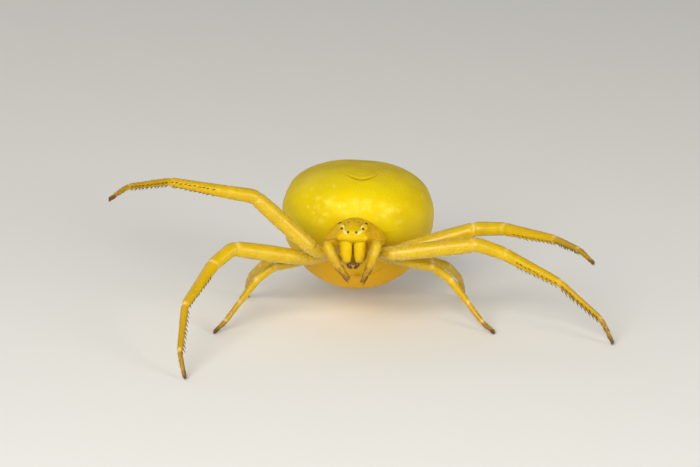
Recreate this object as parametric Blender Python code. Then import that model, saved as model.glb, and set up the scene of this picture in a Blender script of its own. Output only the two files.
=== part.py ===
"""A life-size female goldenrod crab spider, standing with her first legs spread as if waiting for prey.

The spider faces -Y, her own right side is at -X, and the floor is at z = 0.
Sizes and places are in millimetres, and each mesh is made in metres by the factor MM.
"""

import math

import bmesh
import bpy
from mathutils import Matrix, Vector

MM = 0.001

# Gaps between neighbouring nodes
NODE_GAP = 0.20
EYE_GAP = 0.04
# Points nearer than this are merged after a cut, and those of the jaws and abdomen at the wider distance
WELD = 0.002
WIDE_WELD = 0.012

# Front body: the middle of the carapace, how far its head end is raised,
# and how far the body behind the face swings towards the spider's left
FRONT_BODY_AT = Vector((-0.05, 1.65, 5.15))
HEAD_UP_DEG = 7.0
BODY_TURN_DEG = 5.0

# Stations of the front body from face to waist, in its own frame:
# place along the body, half width, top, level of the greatest width, underside
FRONT_BODY_STATIONS = (
    (-1.66, 0.62, 0.50, 0.30, 0.14),
    (-1.60, 0.80, 0.66, 0.30, 0.05),
    (-1.38, 0.93, 0.84, 0.26, -0.02),
    (-1.10, 1.04, 1.00, 0.20, -0.12),
    (-0.75, 1.22, 1.07, 0.08, -0.48),
    (-0.35, 1.44, 1.10, -0.02, -0.76),
    (0.10, 1.57, 1.11, -0.06, -0.84),
    (0.60, 1.60, 1.04, -0.08, -0.85),
    (1.05, 1.42, 0.86, -0.08, -0.78),
    (1.50, 0.98, 0.55, -0.10, -0.62),
    (1.82, 0.58, 0.28, -0.12, -0.48),
    (2.25, 0.38, 0.14, -0.14, -0.42),
)
FRONT_BODY_SIDES = 28
RINGS_A_STATION = 2
CARAPACE_ROUNDNESS = 1.65
UNDERSIDE_ROUNDNESS = 2.2

# Mouth lobes under the head, one each side: middle and half sizes
MOUTH_LOBE_AT = (0.42, -0.36, -0.80)
MOUTH_LOBE_SIZE = (0.36, 0.36, 0.34)

# Raised mound that carries both side eyes: middle and half sizes
EYE_MOUND_AT = (0.60, -1.24, 0.78)
EYE_MOUND_SIZE = (0.26, 0.34, 0.26)

# Eyes of the left side, in the front body's frame: place and radius. The right side mirrors them
EYES = {
    "front_middle": ((0.22, -1.62, 0.58), 0.09),
    "front_side": ((0.575, -1.50, 0.77), 0.12),
    "back_middle": ((0.28, -0.92, 1.02), 0.065),
    "back_side": ((0.69, -1.12, 0.95), 0.09),
}

# Abdomen: the middle of its widest level, and how far it reaches from there
ABDOMEN_AT = Vector((0.28, 6.40, 5.24))
ABDOMEN_HALF_WIDTH = 4.15
ABDOMEN_TO_TOP = 2.70
ABDOMEN_TO_BELLY = 4.30
ABDOMEN_TO_FRONT = 3.75
ABDOMEN_TO_REAR = 4.10
ABDOMEN_ROLL_DEG = 2.5
# How much narrower its front is, how far its lower front slopes back, and how square its back is
ABDOMEN_FRONT_TAPER = 0.12
ABDOMEN_FRONT_SLOPE = 0.50
ABDOMEN_BACK_SQUARENESS = 0.35
ABDOMEN_SEGMENTS = 40
ABDOMEN_RINGS = 22

# Spinnerets: middle and half sizes of their base on the rear, and the cones on it
SPINNERETS_AT = Vector((0.28, 10.00, 3.55))
SPINNERET_BASE_SIZE = (0.62, 0.48, 0.78)
SPINNERET_RADIUS = 0.25
SPINNERET_LENGTH = 0.80
SPINNERET_SPREAD = 0.25
# What is left of the spread at the tips, and how far the tips hang lower than the roots
SPINNERET_TIP_SPREAD = 0.84
SPINNERET_DROOP = 0.08
# Share of the length and share of the radius there
SPINNERET_TAPER = ((0.0, 1.0), (0.6, 0.95), (0.9, 0.72), (1.0, 0.40))
ANAL_MOUND_RISE = 0.47

# Fang-bearing jaws: centre line of the left one from the face down, with its radii
JAW_LINE = ((0.40, 0.44, 5.45), (0.41, 0.38, 4.95), (0.38, 0.34, 4.55), (0.32, 0.32, 4.20))
JAW_RADII = (0.31, 0.32, 0.27, 0.18)
FANG_LINE = ((0.28, 0.29, 3.96), (0.24, 0.26, 3.87), (0.16, 0.29, 3.82), (0.08, 0.36, 3.81))
FANG_RADII = (0.12, 0.10, 0.07, 0.03)

# Palps: joints from the mouth lobe to the tip
RIGHT_PALP_JOINTS = (
    (-0.78, 0.78, 4.20),
    (-1.14, 0.28, 4.74),
    (-1.38, -0.10, 5.44),
    (-1.18, -0.38, 4.92),
    (-0.86, -0.44, 4.36),
    (-0.24, -0.38, 3.46),
)
LEFT_PALP_JOINTS = (
    (0.78, 0.78, 4.20),
    (1.12, 0.28, 4.78),
    (1.30, -0.10, 5.48),
    (1.16, -0.38, 4.96),
    (0.94, -0.44, 4.36),
    (0.50, -0.38, 3.34),
)
PALP_RADII = ((0.24, 0.25), (0.25, 0.26), (0.27, 0.26), (0.25, 0.27), (0.27, 0.16))

# Lengths of femur, patella, tibia, metatarsus and tarsus
LONG_LEG = (4.50, 1.45, 3.40, 3.00, 1.40)
THIRD_LEG = (2.30, 1.05, 1.60, 1.35, 0.85)
FOURTH_LEG = (2.60, 1.00, 1.90, 1.45, 0.90)

# Radii at the start and end of coxa, femur, patella, tibia, metatarsus and tarsus
LONG_LEG_RADII = (
    (0.22, 0.33), (0.36, 0.42), (0.41, 0.37), (0.37, 0.27), (0.25, 0.25), (0.25, 0.16),
)
SHORT_LEG_RADII = (
    (0.21, 0.27), (0.28, 0.29), (0.29, 0.27), (0.27, 0.25), (0.25, 0.25), (0.25, 0.16),
)
LONG_LEG_FEMUR_SWELL = 0.08
SHORT_LEG_FEMUR_SWELL = 0.04

# Pose: root of the coxa, start of the femur, and the direction of each segment after it
# as (turn about Z from +X, rise) in degrees. A standing leg's last segment ends at FOOT_HEIGHT
FOOT_HEIGHT = -0.04
LEGS = {
    "right_1": {
        "root": (-1.02, 1.34, 4.50), "start": (-1.92, 0.80, 4.61), "lengths": LONG_LEG,
        "aim": ((178, 43), (206, 15), (199, 15), (227, 6), (230, -16)),
        "stands": False,
    },
    "left_1": {
        "root": (1.06, 1.34, 4.50), "start": (2.05, 0.80, 4.53), "lengths": LONG_LEG,
        "aim": ((0, 7), (-8, -17), (-12, -25), (-12, -40), (-30, -61)),
        "stands": True,
    },
    "right_2": {
        "root": (-1.12, 1.88, 4.38), "start": (-2.22, 1.78, 3.98), "lengths": LONG_LEG,
        "aim": ((200, 13), (222, -24), (243, -25), (266, -36), (288, -52)),
        "stands": True,
    },
    "left_2": {
        "root": (1.16, 1.90, 4.38), "start": (2.32, 1.84, 4.35), "lengths": LONG_LEG,
        "aim": ((2, 16), (-22, 6), (-38, 0), (-70, 5), (-62, -14)),
        "stands": False,
    },
    "right_3": {
        "root": (-1.02, 2.40, 4.32), "start": (-2.02, 2.62, 3.80), "lengths": THIRD_LEG,
        "aim": ((182, -12), (190, -36), (200, -50), (212, -46), (220, -33)),
        "stands": True,
    },
    "left_3": {
        "root": (1.10, 2.40, 4.32), "start": (2.12, 2.62, 3.76), "lengths": THIRD_LEG,
        "aim": ((-3, -12), (-10, -36), (-20, -50), (-32, -46), (-40, -30)),
        "stands": True,
    },
    "right_4": {
        "root": (-0.80, 2.90, 4.20), "start": (-1.70, 3.32, 3.56), "lengths": FOURTH_LEG,
        "aim": ((160, -9), (145, -20), (120, -36), (102, -46), (90, -52)),
        "stands": True,
    },
    "left_4": {
        "root": (0.94, 2.88, 4.18), "start": (1.92, 3.24, 3.52), "lengths": FOURTH_LEG,
        "aim": ((20, -9), (35, -20), (60, -36), (78, -46), (90, -52)),
        "stands": True,
    },
}
# Each corner of a limb is a curve that starts this far before its joint, in so many points,
# and takes at most this share of a segment
KNEE_ROUNDING = 0.34
CORNER_POINTS = 5
MOST_OF_SEGMENT = 0.45
LEG_RING_STEP = 0.42
PALP_RING_STEP = 0.26
LEG_SIDES = 10
# Least distance from the last full ring to a limb's end, as a share of the ring step
LAST_RING_CLEAR = 0.6
# A limb's line is read this many times for each ring step
READINGS_A_STEP = 6
# A joint counts to the segment after it, and the segment before is read this little earlier
JUST_BEFORE = 1e-6
# How far before a cut joint the line runs straight, so that both faces there are parallel
STRAIGHT_END = 0.10
# Rounded free end: distance before the tip and share of the radius there
TIP_ROUNDING = ((0.10, 0.95), (0.035, 0.72), (0.0, 0.38))

FLOOR_CUTTER_SIZE = 60.0
FLOOR_CUTTER_DEPTH = 4.0

COLOURS = {
    "abdomen_skin": ((0.90, 0.72, 0.03), 0.42),
    "carapace_shell": ((0.72, 0.46, 0.03), 0.45),
    "leg_shell": ((0.80, 0.55, 0.05), 0.42),
    "fang_horn": ((0.16, 0.06, 0.03), 0.25),
    "eye_lens": ((0.03, 0.015, 0.01), 0.08),
}


def clear_scene():
    for obj in list(bpy.data.objects):
        bpy.data.objects.remove(obj)


def make_collection(name):
    collection = bpy.data.collections.new(name)
    bpy.context.scene.collection.children.link(collection)
    return collection


def make_materials():
    made = {}
    for name, (colour, roughness) in COLOURS.items():
        material = bpy.data.materials.new(name)
        material.use_nodes = True
        shader = material.node_tree.nodes["Principled BSDF"]
        shader.inputs["Base Color"].default_value = (*colour, 1.0)
        shader.inputs["Roughness"].default_value = roughness
        shader.inputs["Metallic"].default_value = 0.0
        material.diffuse_color = (*colour, 1.0)
        made[name] = material
    return made


def add_object(name, mesh, collection):
    obj = bpy.data.objects.new(name, mesh)
    collection.objects.link(obj)
    return obj


def mesh_from_bmesh(name, bm):
    bmesh.ops.recalc_face_normals(bm, faces=bm.faces)
    mesh = bpy.data.meshes.new(name)
    bm.to_mesh(mesh)
    bm.free()
    return mesh


def finish(obj, material, smooth_deg=50):
    obj.data.materials.clear()
    obj.data.materials.append(material)
    obj.data.shade_smooth()
    obj.data.set_sharp_from_angle(angle=math.radians(smooth_deg))
    return obj


def boolean(obj, other, operation, merge=WELD):
    """Applies one Boolean with a mesh object, or with a collection of closed mesh objects."""
    modifier = obj.modifiers.new(operation.title(), "BOOLEAN")
    modifier.operation = operation
    modifier.solver = "EXACT"
    if isinstance(other, bpy.types.Collection):
        modifier.operand_type = "COLLECTION"
        modifier.collection = other
    else:
        modifier.object = other
    graph = bpy.context.evaluated_depsgraph_get()
    mesh = bpy.data.meshes.new_from_object(obj.evaluated_get(graph))
    obj.modifiers.clear()
    obj.data = mesh
    weld(mesh, merge)


def weld(mesh, merge=WELD):
    """Merges points that lie within the merge distance of each other."""
    bm = bmesh.new()
    bm.from_mesh(mesh)
    bmesh.ops.remove_doubles(bm, verts=bm.verts, dist=merge * MM)
    bmesh.ops.recalc_face_normals(bm, faces=bm.faces)
    bm.to_mesh(mesh)
    bm.free()


def keep_largest_surface(obj):
    """Drops loose scraps and sealed hollows that a Boolean left beside the largest closed surface."""
    bm = bmesh.new()
    bm.from_mesh(obj.data)
    shells = []
    unseen = set(bm.verts)
    while unseen:
        stack = [unseen.pop()]
        shell = set(stack)
        while stack:
            for edge in stack.pop().link_edges:
                for vert in edge.verts:
                    if vert in unseen:
                        unseen.discard(vert)
                        shell.add(vert)
                        stack.append(vert)
        shells.append(shell)
    largest = max(shells, key=len)
    loose = [vert for vert in bm.verts if vert not in largest]
    bmesh.ops.delete(bm, geom=loose, context="VERTS")
    bm.to_mesh(obj.data)
    bm.free()


def front_body_matrix():
    """Takes the front body's own frame, in millimetres, to the world, in metres."""
    turn = Matrix.Rotation(math.radians(-BODY_TURN_DEG), 4, "Z")
    place = Matrix.Translation(FRONT_BODY_AT)
    pitch = Matrix.Rotation(math.radians(-HEAD_UP_DEG), 4, "X")
    return Matrix.Scale(MM, 4) @ turn @ place @ pitch


def spline_between(rows, share):
    """A smooth value of every column between evenly numbered rows; share runs from 0 to len(rows) - 1."""
    index = min(int(share), len(rows) - 2)
    u = share - index
    before = rows[max(index - 1, 0)]
    start = rows[index]
    end = rows[index + 1]
    after = rows[min(index + 2, len(rows) - 1)]
    values = []
    for a, b, c, d in zip(before, start, end, after):
        slope_in = (c - a) / 2
        slope_out = (d - b) / 2
        values.append(
            (2 * u**3 - 3 * u**2 + 1) * b
            + (u**3 - 2 * u**2 + u) * slope_in
            + (-2 * u**3 + 3 * u**2) * c
            + (u**3 - u**2) * slope_out
        )
    return values


def loft(name, rings, collection):
    """A closed mesh through rings of equal count, with a flat cap on each end."""
    bm = bmesh.new()
    loops = [[bm.verts.new(point) for point in ring] for ring in rings]
    for near, far in zip(loops, loops[1:]):
        for i in range(len(near)):
            j = (i + 1) % len(near)
            bm.faces.new((near[i], near[j], far[j], far[i]))
    bm.faces.new(loops[0])
    bm.faces.new(loops[-1])
    return add_object(name, mesh_from_bmesh(name, bm), collection)


def front_body_ring(station, grow):
    """One closed ring round the front body, wider by grow than its surface."""
    along, half_width, top, widest, underside = station
    ring = []
    for i in range(FRONT_BODY_SIDES):
        angle = math.tau * i / FRONT_BODY_SIDES
        power = 2 / (CARAPACE_ROUNDNESS if math.sin(angle) > 0 else UNDERSIDE_ROUNDNESS)
        across = math.copysign(abs(math.cos(angle)) ** power, math.cos(angle))
        rise = math.copysign(abs(math.sin(angle)) ** power, math.sin(angle))
        reach = top - widest if rise > 0 else widest - underside
        x = across * (half_width + grow)
        z = widest + rise * (reach + grow)
        ring.append((x, along, z))
    return ring


def front_body_shell(name, grow, collection):
    """The carapace, underside, waist and mouth lobes as one closed mesh, grown by grow."""
    steps = RINGS_A_STATION * (len(FRONT_BODY_STATIONS) - 1)
    rings = []
    for i in range(steps + 1):
        station = spline_between(FRONT_BODY_STATIONS, i / RINGS_A_STATION)
        if i == 0:
            station[0] -= grow
        if i == steps:
            station[0] += grow
        rings.append(front_body_ring(station, grow))
    body = loft(name, rings, collection)
    pieces = make_collection(name + "_pieces")
    for side in (-1, 1):
        x, y, z = MOUTH_LOBE_AT
        ball(name + "_lobe", (side * x, y, z), [s + grow for s in MOUTH_LOBE_SIZE], pieces)
    join_pieces(body, pieces)
    body.data.transform(front_body_matrix())
    return body


def ball(name, middle, half_sizes, collection, segments=16, rings=10):
    bm = bmesh.new()
    bmesh.ops.create_uvsphere(bm, u_segments=segments, v_segments=rings, radius=1.0)
    bmesh.ops.scale(bm, vec=half_sizes, verts=bm.verts)
    bmesh.ops.translate(bm, vec=middle, verts=bm.verts)
    return add_object(name, mesh_from_bmesh(name, bm), collection)


def join_pieces(obj, pieces):
    """Unites obj with every object of a collection, then removes that collection."""
    boolean(obj, pieces, "UNION")
    for piece in list(pieces.objects):
        bpy.data.objects.remove(piece)
    bpy.data.collections.remove(pieces)
    keep_largest_surface(obj)


def tube(name, points, radii, collection, sides=LEG_SIDES):
    """A capped round tube through points, with its own radius at each one, as a closed mesh in metres."""
    curve = bpy.data.curves.new(name, "CURVE")
    curve.dimensions = "3D"
    curve.bevel_depth = 1.0
    curve.bevel_resolution = (sides - 4) // 2
    curve.use_fill_caps = True
    spline = curve.splines.new("POLY")
    spline.points.add(len(points) - 1)
    for target, point, radius in zip(spline.points, points, radii):
        target.co = (*point, 1.0)
        target.radius = radius
    guide = add_object(name + "_line", curve, collection)
    bpy.context.view_layer.update()
    graph = bpy.context.evaluated_depsgraph_get()
    mesh = bpy.data.meshes.new_from_object(guide.evaluated_get(graph))
    bpy.data.objects.remove(guide)
    mesh.transform(Matrix.Scale(MM, 4))
    weld(mesh)
    mesh.name = name
    return add_object(name, mesh, collection)


def limb_line(joints, rounding):
    """A line through the joints with rounded corners: (point, segment number plus share along it) pairs."""
    line = [(joints[0], 0.0)]
    for i in range(1, len(joints) - 1):
        before, corner, after = joints[i - 1], joints[i], joints[i + 1]
        back = min(rounding, (corner - before).length * MOST_OF_SEGMENT)
        on = min(rounding, (after - corner).length * MOST_OF_SEGMENT)
        start = corner + (before - corner).normalized() * back
        end = corner + (after - corner).normalized() * on
        start_share = i - back / (corner - before).length
        end_share = i + on / (after - corner).length
        for k in range(CORNER_POINTS):
            u = k / (CORNER_POINTS - 1)
            point = start * (1 - u) ** 2 + corner * 2 * u * (1 - u) + end * u**2
            line.append((point, start_share + (end_share - start_share) * u))
    line.append((joints[-1], float(len(joints) - 1)))
    return line


def place_at(line, share):
    """The point of a line at a share, and the line's direction there."""
    i = 1
    while i < len(line) - 1 and line[i][1] < share:
        i += 1
    (start, start_share), (end, end_share) = line[i - 1], line[i]
    u = (share - start_share) / (end_share - start_share)
    before = line[max(i - 2, 0)][0]
    after = line[min(i + 1, len(line) - 1)][0]
    return start.lerp(end, u), (after - before).normalized()


def stretch_of(line, first, last, radius_of, step, cut_first, cut_last):
    """Points and radii along a line between two joints, about step apart.

    A cut end stops half a gap short of its joint with its face square to the line there.
    The other kind of first end starts the line, and the other kind of last end is a rounded tip."""
    points, radii = [], []
    half_gap = NODE_GAP / 2
    if cut_first:
        joint, along = place_at(line, first)
        for distance in (half_gap, half_gap + STRAIGHT_END):
            points.append(joint + along * distance)
            radii.append(radius_of(first))
    else:
        points.append(line[0][0])
        radii.append(radius_of(first))
    end_joint, end_along = place_at(line, last)
    end_reach = half_gap + STRAIGHT_END + step * LAST_RING_CLEAR
    for point, share in fine(line, step / READINGS_A_STEP):
        if not first < share < last or (point - points[-1]).length < step:
            continue
        if (point - end_joint).length < end_reach:
            break
        points.append(point)
        radii.append(radius_of(share))
    end_radius = radius_of(last - JUST_BEFORE)
    if cut_last:
        for distance in (half_gap + STRAIGHT_END, half_gap):
            points.append(end_joint - end_along * distance)
            radii.append(end_radius)
    else:
        for distance, share_of_radius in TIP_ROUNDING:
            points.append(end_joint - end_along * distance)
            radii.append(end_radius * share_of_radius)
    return points, radii


def fine(line, step):
    """The line with points at most step apart."""
    found = [line[0]]
    for (start, start_share), (end, end_share) in zip(line, line[1:]):
        count = max(1, math.ceil((end - start).length / step))
        for k in range(1, count + 1):
            u = k / count
            found.append((start.lerp(end, u), start_share + (end_share - start_share) * u))
    return found


def radius_at(share, radii, swell_segment=None, swell=0.0):
    """A limb's radius: straight between each segment's two ends, with one segment swollen at its middle."""
    segment = min(int(share), len(radii) - 1)
    u = share - segment
    start, end = radii[segment]
    radius = start + (end - start) * u
    if segment == swell_segment:
        radius += swell * math.sin(math.pi * u)
    return radius


def aimed(start, length, turn_deg, rise_deg):
    turn, rise = math.radians(turn_deg), math.radians(rise_deg)
    level = math.cos(rise)
    return start + length * Vector((math.cos(turn) * level, math.sin(turn) * level, math.sin(rise)))


def leg_joints(leg):
    joints = [Vector(leg["root"]), Vector(leg["start"])]
    for length, (turn, rise) in zip(leg["lengths"], leg["aim"]):
        joints.append(aimed(joints[-1], length, turn, rise))
    if leg["stands"]:
        joints[-1].z = FOOT_HEIGHT
    return joints


def build_leg(name, leg, cutters, materials, collection):
    """Three nodes: thigh (coxa and femur), shin (patella and tibia) and foot (metatarsus and tarsus)."""
    line = limb_line(leg_joints(leg), KNEE_ROUNDING)
    is_long = leg["lengths"] is LONG_LEG
    radii = LONG_LEG_RADII if is_long else SHORT_LEG_RADII
    swell = LONG_LEG_FEMUR_SWELL if is_long else SHORT_LEG_FEMUR_SWELL
    parts = (("thigh", 0, 2), ("shin", 2, 4), ("foot", 4, 6))
    for part, first, last in parts:
        points, sizes = stretch_of(
            line, first, last, lambda share: radius_at(share, radii, 1, swell),
            LEG_RING_STEP, cut_first=part != "thigh", cut_last=part != "foot",
        )
        node = tube(f"leg_{name}_{part}", points, sizes, collection)
        if part == "thigh":
            boolean(node, cutters["front_body"], "DIFFERENCE")
            keep_largest_surface(node)
        if part == "foot" and leg["stands"]:
            boolean(node, cutters["floor"], "DIFFERENCE")
        finish(node, materials["leg_shell"])


def build_palp(name, joints, cutters, materials, collection):
    line = limb_line([Vector(joint) for joint in joints], KNEE_ROUNDING)
    points, sizes = stretch_of(
        line, 0, len(joints) - 1, lambda share: radius_at(share, PALP_RADII),
        PALP_RING_STEP, cut_first=False, cut_last=False,
    )
    palp = tube(name, points, sizes, collection)
    boolean(palp, cutters["front_body"], "DIFFERENCE")
    for jaw in cutters["jaws"]:
        boolean(palp, jaw, "DIFFERENCE")
    keep_largest_surface(palp)
    finish(palp, materials["leg_shell"])


def mirrored(point, side):
    return Vector((side * point[0], point[1], point[2]))


def build_jaws(cutters, materials, collection):
    for side_name, side in (("right", -1), ("left", 1)):
        jaw_points = [mirrored(point, side) for point in JAW_LINE]
        jaw = tube(f"jaw_{side_name}", jaw_points, JAW_RADII, collection, sides=16)
        boolean(jaw, cutters["front_body"], "DIFFERENCE", WIDE_WELD)
        keep_largest_surface(jaw)
        finish(jaw, materials["leg_shell"])
        fang_points = [mirrored(point, side) for point in FANG_LINE]
        fang = tube(f"fang_{side_name}", fang_points, FANG_RADII, collection, sides=8)
        finish(fang, materials["fang_horn"])


def jaw_cutters(collection):
    """Both jaws and fangs, fatter and longer by the gap."""
    made = []
    for side in (-1, 1):
        for line, radii in ((JAW_LINE, JAW_RADII), (FANG_LINE, FANG_RADII)):
            points = [mirrored(point, side) for point in line]
            points[0] += (points[0] - points[1]).normalized() * NODE_GAP
            points[-1] += (points[-1] - points[-2]).normalized() * NODE_GAP
            grown = [radius + NODE_GAP for radius in radii]
            made.append(tube("jaw_cutter", points, grown, collection, sides=16))
    return made


def build_front_body(materials, collection):
    """Carapace, underside and waist in one node, with the side eyes' mounds and a socket for each eye."""
    body = front_body_shell("front_body", 0.0, collection)
    mounds = make_collection("mounds")
    sockets = make_collection("sockets")
    for side in (-1, 1):
        mound = ball("mound", mirrored(EYE_MOUND_AT, side), EYE_MOUND_SIZE, mounds)
        mound.data.transform(front_body_matrix())
    join_pieces(body, mounds)
    for side_name, side in (("right", -1), ("left", 1)):
        for eye_name, (place, radius) in EYES.items():
            at = mirrored(place, side)
            socket = ball("socket", at, [radius + EYE_GAP] * 3, sockets, segments=12, rings=8)
            socket.data.transform(front_body_matrix())
            eye_object = f"eye_{eye_name}_{side_name}"
            eye = ball(eye_object, at, [radius] * 3, collection, segments=12, rings=8)
            eye.data.transform(front_body_matrix())
            finish(eye, materials["eye_lens"])
    for socket in list(sockets.objects):
        boolean(body, socket, "DIFFERENCE")
        bpy.data.objects.remove(socket)
    bpy.data.collections.remove(sockets)
    keep_largest_surface(body)
    finish(body, materials["carapace_shell"])


def abdomen_point(direction):
    """Where the abdomen's surface lies in a unit direction from the middle of its widest level."""
    x, y, z = direction
    power = 2 + ABDOMEN_BACK_SQUARENESS * min(1.0, max(0.0, 2 * z))
    reach = (abs(x) ** power + abs(y) ** power + abs(z) ** power) ** (-1 / power)
    x, y, z = x * reach, y * reach, z * reach
    forward, down = max(0.0, -y), max(0.0, -z)
    half_width = ABDOMEN_HALF_WIDTH * (1 - ABDOMEN_FRONT_TAPER * forward**2)
    half_length = ABDOMEN_TO_FRONT * (1 - ABDOMEN_FRONT_SLOPE * down) if y < 0 else ABDOMEN_TO_REAR
    half_height = ABDOMEN_TO_TOP if z > 0 else ABDOMEN_TO_BELLY
    turn = Matrix.Rotation(math.radians(ABDOMEN_ROLL_DEG), 3, "Y")
    return ABDOMEN_AT + turn @ Vector((x * half_width, y * half_length, z * half_height))


def build_abdomen(cutters, materials, collection):
    bm = bmesh.new()
    bmesh.ops.create_uvsphere(
        bm, u_segments=ABDOMEN_SEGMENTS, v_segments=ABDOMEN_RINGS, radius=1.0
    )
    for vert in bm.verts:
        vert.co = abdomen_point(vert.co.normalized()) * MM
    abdomen = add_object("abdomen", mesh_from_bmesh("abdomen", bm), collection)
    boolean(abdomen, cutters["front_body"], "DIFFERENCE", WIDE_WELD)
    boolean(abdomen, cutters["spinnerets"], "DIFFERENCE", WIDE_WELD)
    keep_largest_surface(abdomen)
    finish(abdomen, materials["abdomen_skin"])


def spinneret_base(name, grow, collection):
    half_sizes = [size + grow for size in SPINNERET_BASE_SIZE]
    base = ball(name, SPINNERETS_AT, half_sizes, collection)
    base.data.transform(Matrix.Scale(MM, 4))
    return base


def build_spinnerets(materials, collection):
    """Two upper and two lower cones and the anal mound on one base."""
    group = spinneret_base("spinnerets", 0.0, collection)
    cones = make_collection("cones")
    places = [(sx * SPINNERET_SPREAD, sz * SPINNERET_SPREAD) for sx in (-1, 1) for sz in (-1, 1)]
    places.append((0.0, ANAL_MOUND_RISE))
    for x, z in places:
        root = SPINNERETS_AT + Vector((x, 0.0, z))
        across = Vector((x, 0.0, z)) * SPINNERET_TIP_SPREAD
        tip = SPINNERETS_AT + across + Vector((0.0, SPINNERET_LENGTH, -SPINNERET_DROOP))
        points = [root.lerp(tip, share) for share, _ in SPINNERET_TAPER]
        radii = [SPINNERET_RADIUS * share for _, share in SPINNERET_TAPER]
        tube("cone", points, radii, cones)
    join_pieces(group, cones)
    finish(group, materials["leg_shell"])


def floor_cutter(collection):
    bm = bmesh.new()
    bmesh.ops.create_cube(bm, size=1.0)
    size = Vector((FLOOR_CUTTER_SIZE, FLOOR_CUTTER_SIZE, FLOOR_CUTTER_DEPTH))
    bmesh.ops.scale(bm, vec=size * MM, verts=bm.verts)
    bmesh.ops.translate(bm, vec=(0, 0, -FLOOR_CUTTER_DEPTH / 2 * MM), verts=bm.verts)
    return add_object("floor_cutter", mesh_from_bmesh("floor_cutter", bm), collection)


def make_cutters():
    """Grown copies of the pieces that others must clear, and the slab under the floor."""
    collection = make_collection("cutters")
    cutters = {
        "front_body": front_body_shell("front_body_cutter", NODE_GAP, collection),
        "jaws": jaw_cutters(collection),
        "spinnerets": spinneret_base("spinneret_cutter", NODE_GAP, collection),
        "floor": floor_cutter(collection),
    }
    for cutter in collection.objects:
        cutter.hide_render = True
        cutter.display_type = "WIRE"
    return cutters


def centre_on_box(collection):
    """Moves every mesh sideways so that the whole spider's box is centred over the origin."""
    corners = [vert.co for obj in collection.objects for vert in obj.data.vertices]
    middle_x = (min(c.x for c in corners) + max(c.x for c in corners)) / 2
    middle_y = (min(c.y for c in corners) + max(c.y for c in corners)) / 2
    for obj in collection.objects:
        obj.data.transform(Matrix.Translation((-middle_x, -middle_y, 0.0)))


def main():
    clear_scene()
    materials = make_materials()
    spider = make_collection("crab_spider")
    cutters = make_cutters()
    build_front_body(materials, spider)
    build_abdomen(cutters, materials, spider)
    build_spinnerets(materials, spider)
    build_jaws(cutters, materials, spider)
    build_palp("palp_right", RIGHT_PALP_JOINTS, cutters, materials, spider)
    build_palp("palp_left", LEFT_PALP_JOINTS, cutters, materials, spider)
    for name, leg in LEGS.items():
        build_leg(name, leg, cutters, materials, spider)
    centre_on_box(spider)


main()
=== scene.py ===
"""The looks of a life-size goldenrod crab spider.

One skin stands for all her flesh. Eyes, fangs, claws, hairs, spines and bristles are pieces of their own.
The skin and all that grows on it are made in millimetres, in the frame that the solids were drawn in:
she faces -Y, her own right side is -X and the floor is z = 0. settle() then takes each piece to metres
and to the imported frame, whose place is read from an eye.
"""

import math
from contextlib import contextmanager

import bmesh
import bpy
import numpy as np
from mathutils import Matrix, Vector
from mathutils.bvhtree import BVHTree
from mathutils.kdtree import KDTree


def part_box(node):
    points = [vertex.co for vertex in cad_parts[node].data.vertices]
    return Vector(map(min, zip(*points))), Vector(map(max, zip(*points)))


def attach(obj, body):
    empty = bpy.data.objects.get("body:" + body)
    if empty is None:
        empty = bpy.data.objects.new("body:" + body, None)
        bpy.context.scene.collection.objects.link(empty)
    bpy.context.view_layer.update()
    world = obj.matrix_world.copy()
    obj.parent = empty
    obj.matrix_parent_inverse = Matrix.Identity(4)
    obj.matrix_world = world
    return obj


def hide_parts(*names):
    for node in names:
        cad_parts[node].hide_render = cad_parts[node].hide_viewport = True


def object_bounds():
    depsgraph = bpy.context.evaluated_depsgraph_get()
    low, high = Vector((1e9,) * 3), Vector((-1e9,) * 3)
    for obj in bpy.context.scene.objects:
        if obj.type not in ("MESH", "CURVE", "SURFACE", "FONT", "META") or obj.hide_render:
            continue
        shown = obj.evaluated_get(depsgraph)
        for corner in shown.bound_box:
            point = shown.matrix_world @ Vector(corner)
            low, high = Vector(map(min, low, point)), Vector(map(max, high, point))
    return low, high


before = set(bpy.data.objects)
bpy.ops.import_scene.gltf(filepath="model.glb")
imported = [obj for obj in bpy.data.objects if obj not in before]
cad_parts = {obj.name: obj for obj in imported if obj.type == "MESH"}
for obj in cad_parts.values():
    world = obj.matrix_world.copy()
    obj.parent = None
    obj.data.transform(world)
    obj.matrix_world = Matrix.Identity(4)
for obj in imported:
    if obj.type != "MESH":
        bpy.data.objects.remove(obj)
CAD_BOX = [list(corner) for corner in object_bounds()]

MM = 0.001
SIDES = {"right": -1, "left": 1}

# Front body: the middle of the carapace, how far its head end is raised and how far it is turned
FRONT_BODY_AT = Vector((-0.05, 1.65, 5.15))
HEAD_UP_DEG = 7.0
BODY_TURN_DEG = 5.0
# Stations from face to waist: place along the body, half width, top, level of greatest width, underside
FRONT_BODY_STATIONS = (
    (-1.66, 0.62, 0.50, 0.30, 0.14),
    (-1.60, 0.80, 0.66, 0.30, 0.05),
    (-1.38, 0.93, 0.84, 0.26, -0.02),
    (-1.10, 1.04, 1.00, 0.20, -0.12),
    (-0.75, 1.22, 1.07, 0.08, -0.48),
    (-0.35, 1.44, 1.10, -0.02, -0.76),
    (0.10, 1.57, 1.11, -0.06, -0.84),
    (0.60, 1.60, 1.04, -0.08, -0.85),
    (1.05, 1.42, 0.86, -0.08, -0.78),
    (1.50, 0.98, 0.55, -0.10, -0.62),
    (1.82, 0.58, 0.28, -0.12, -0.48),
    (2.25, 0.38, 0.14, -0.14, -0.42),
)
RINGS_A_STATION = 8
FRONT_BODY_SIDES = 96
CARAPACE_ROUNDNESS = 1.65
UNDERSIDE_ROUNDNESS = 2.2
# Rings that dome the face: share of the face's size, and how far forward
FACE_DOME_RINGS = ((0.96, 0.02), (0.85, 0.045), (0.65, 0.065), (0.40, 0.075), (0.15, 0.08))
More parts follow.
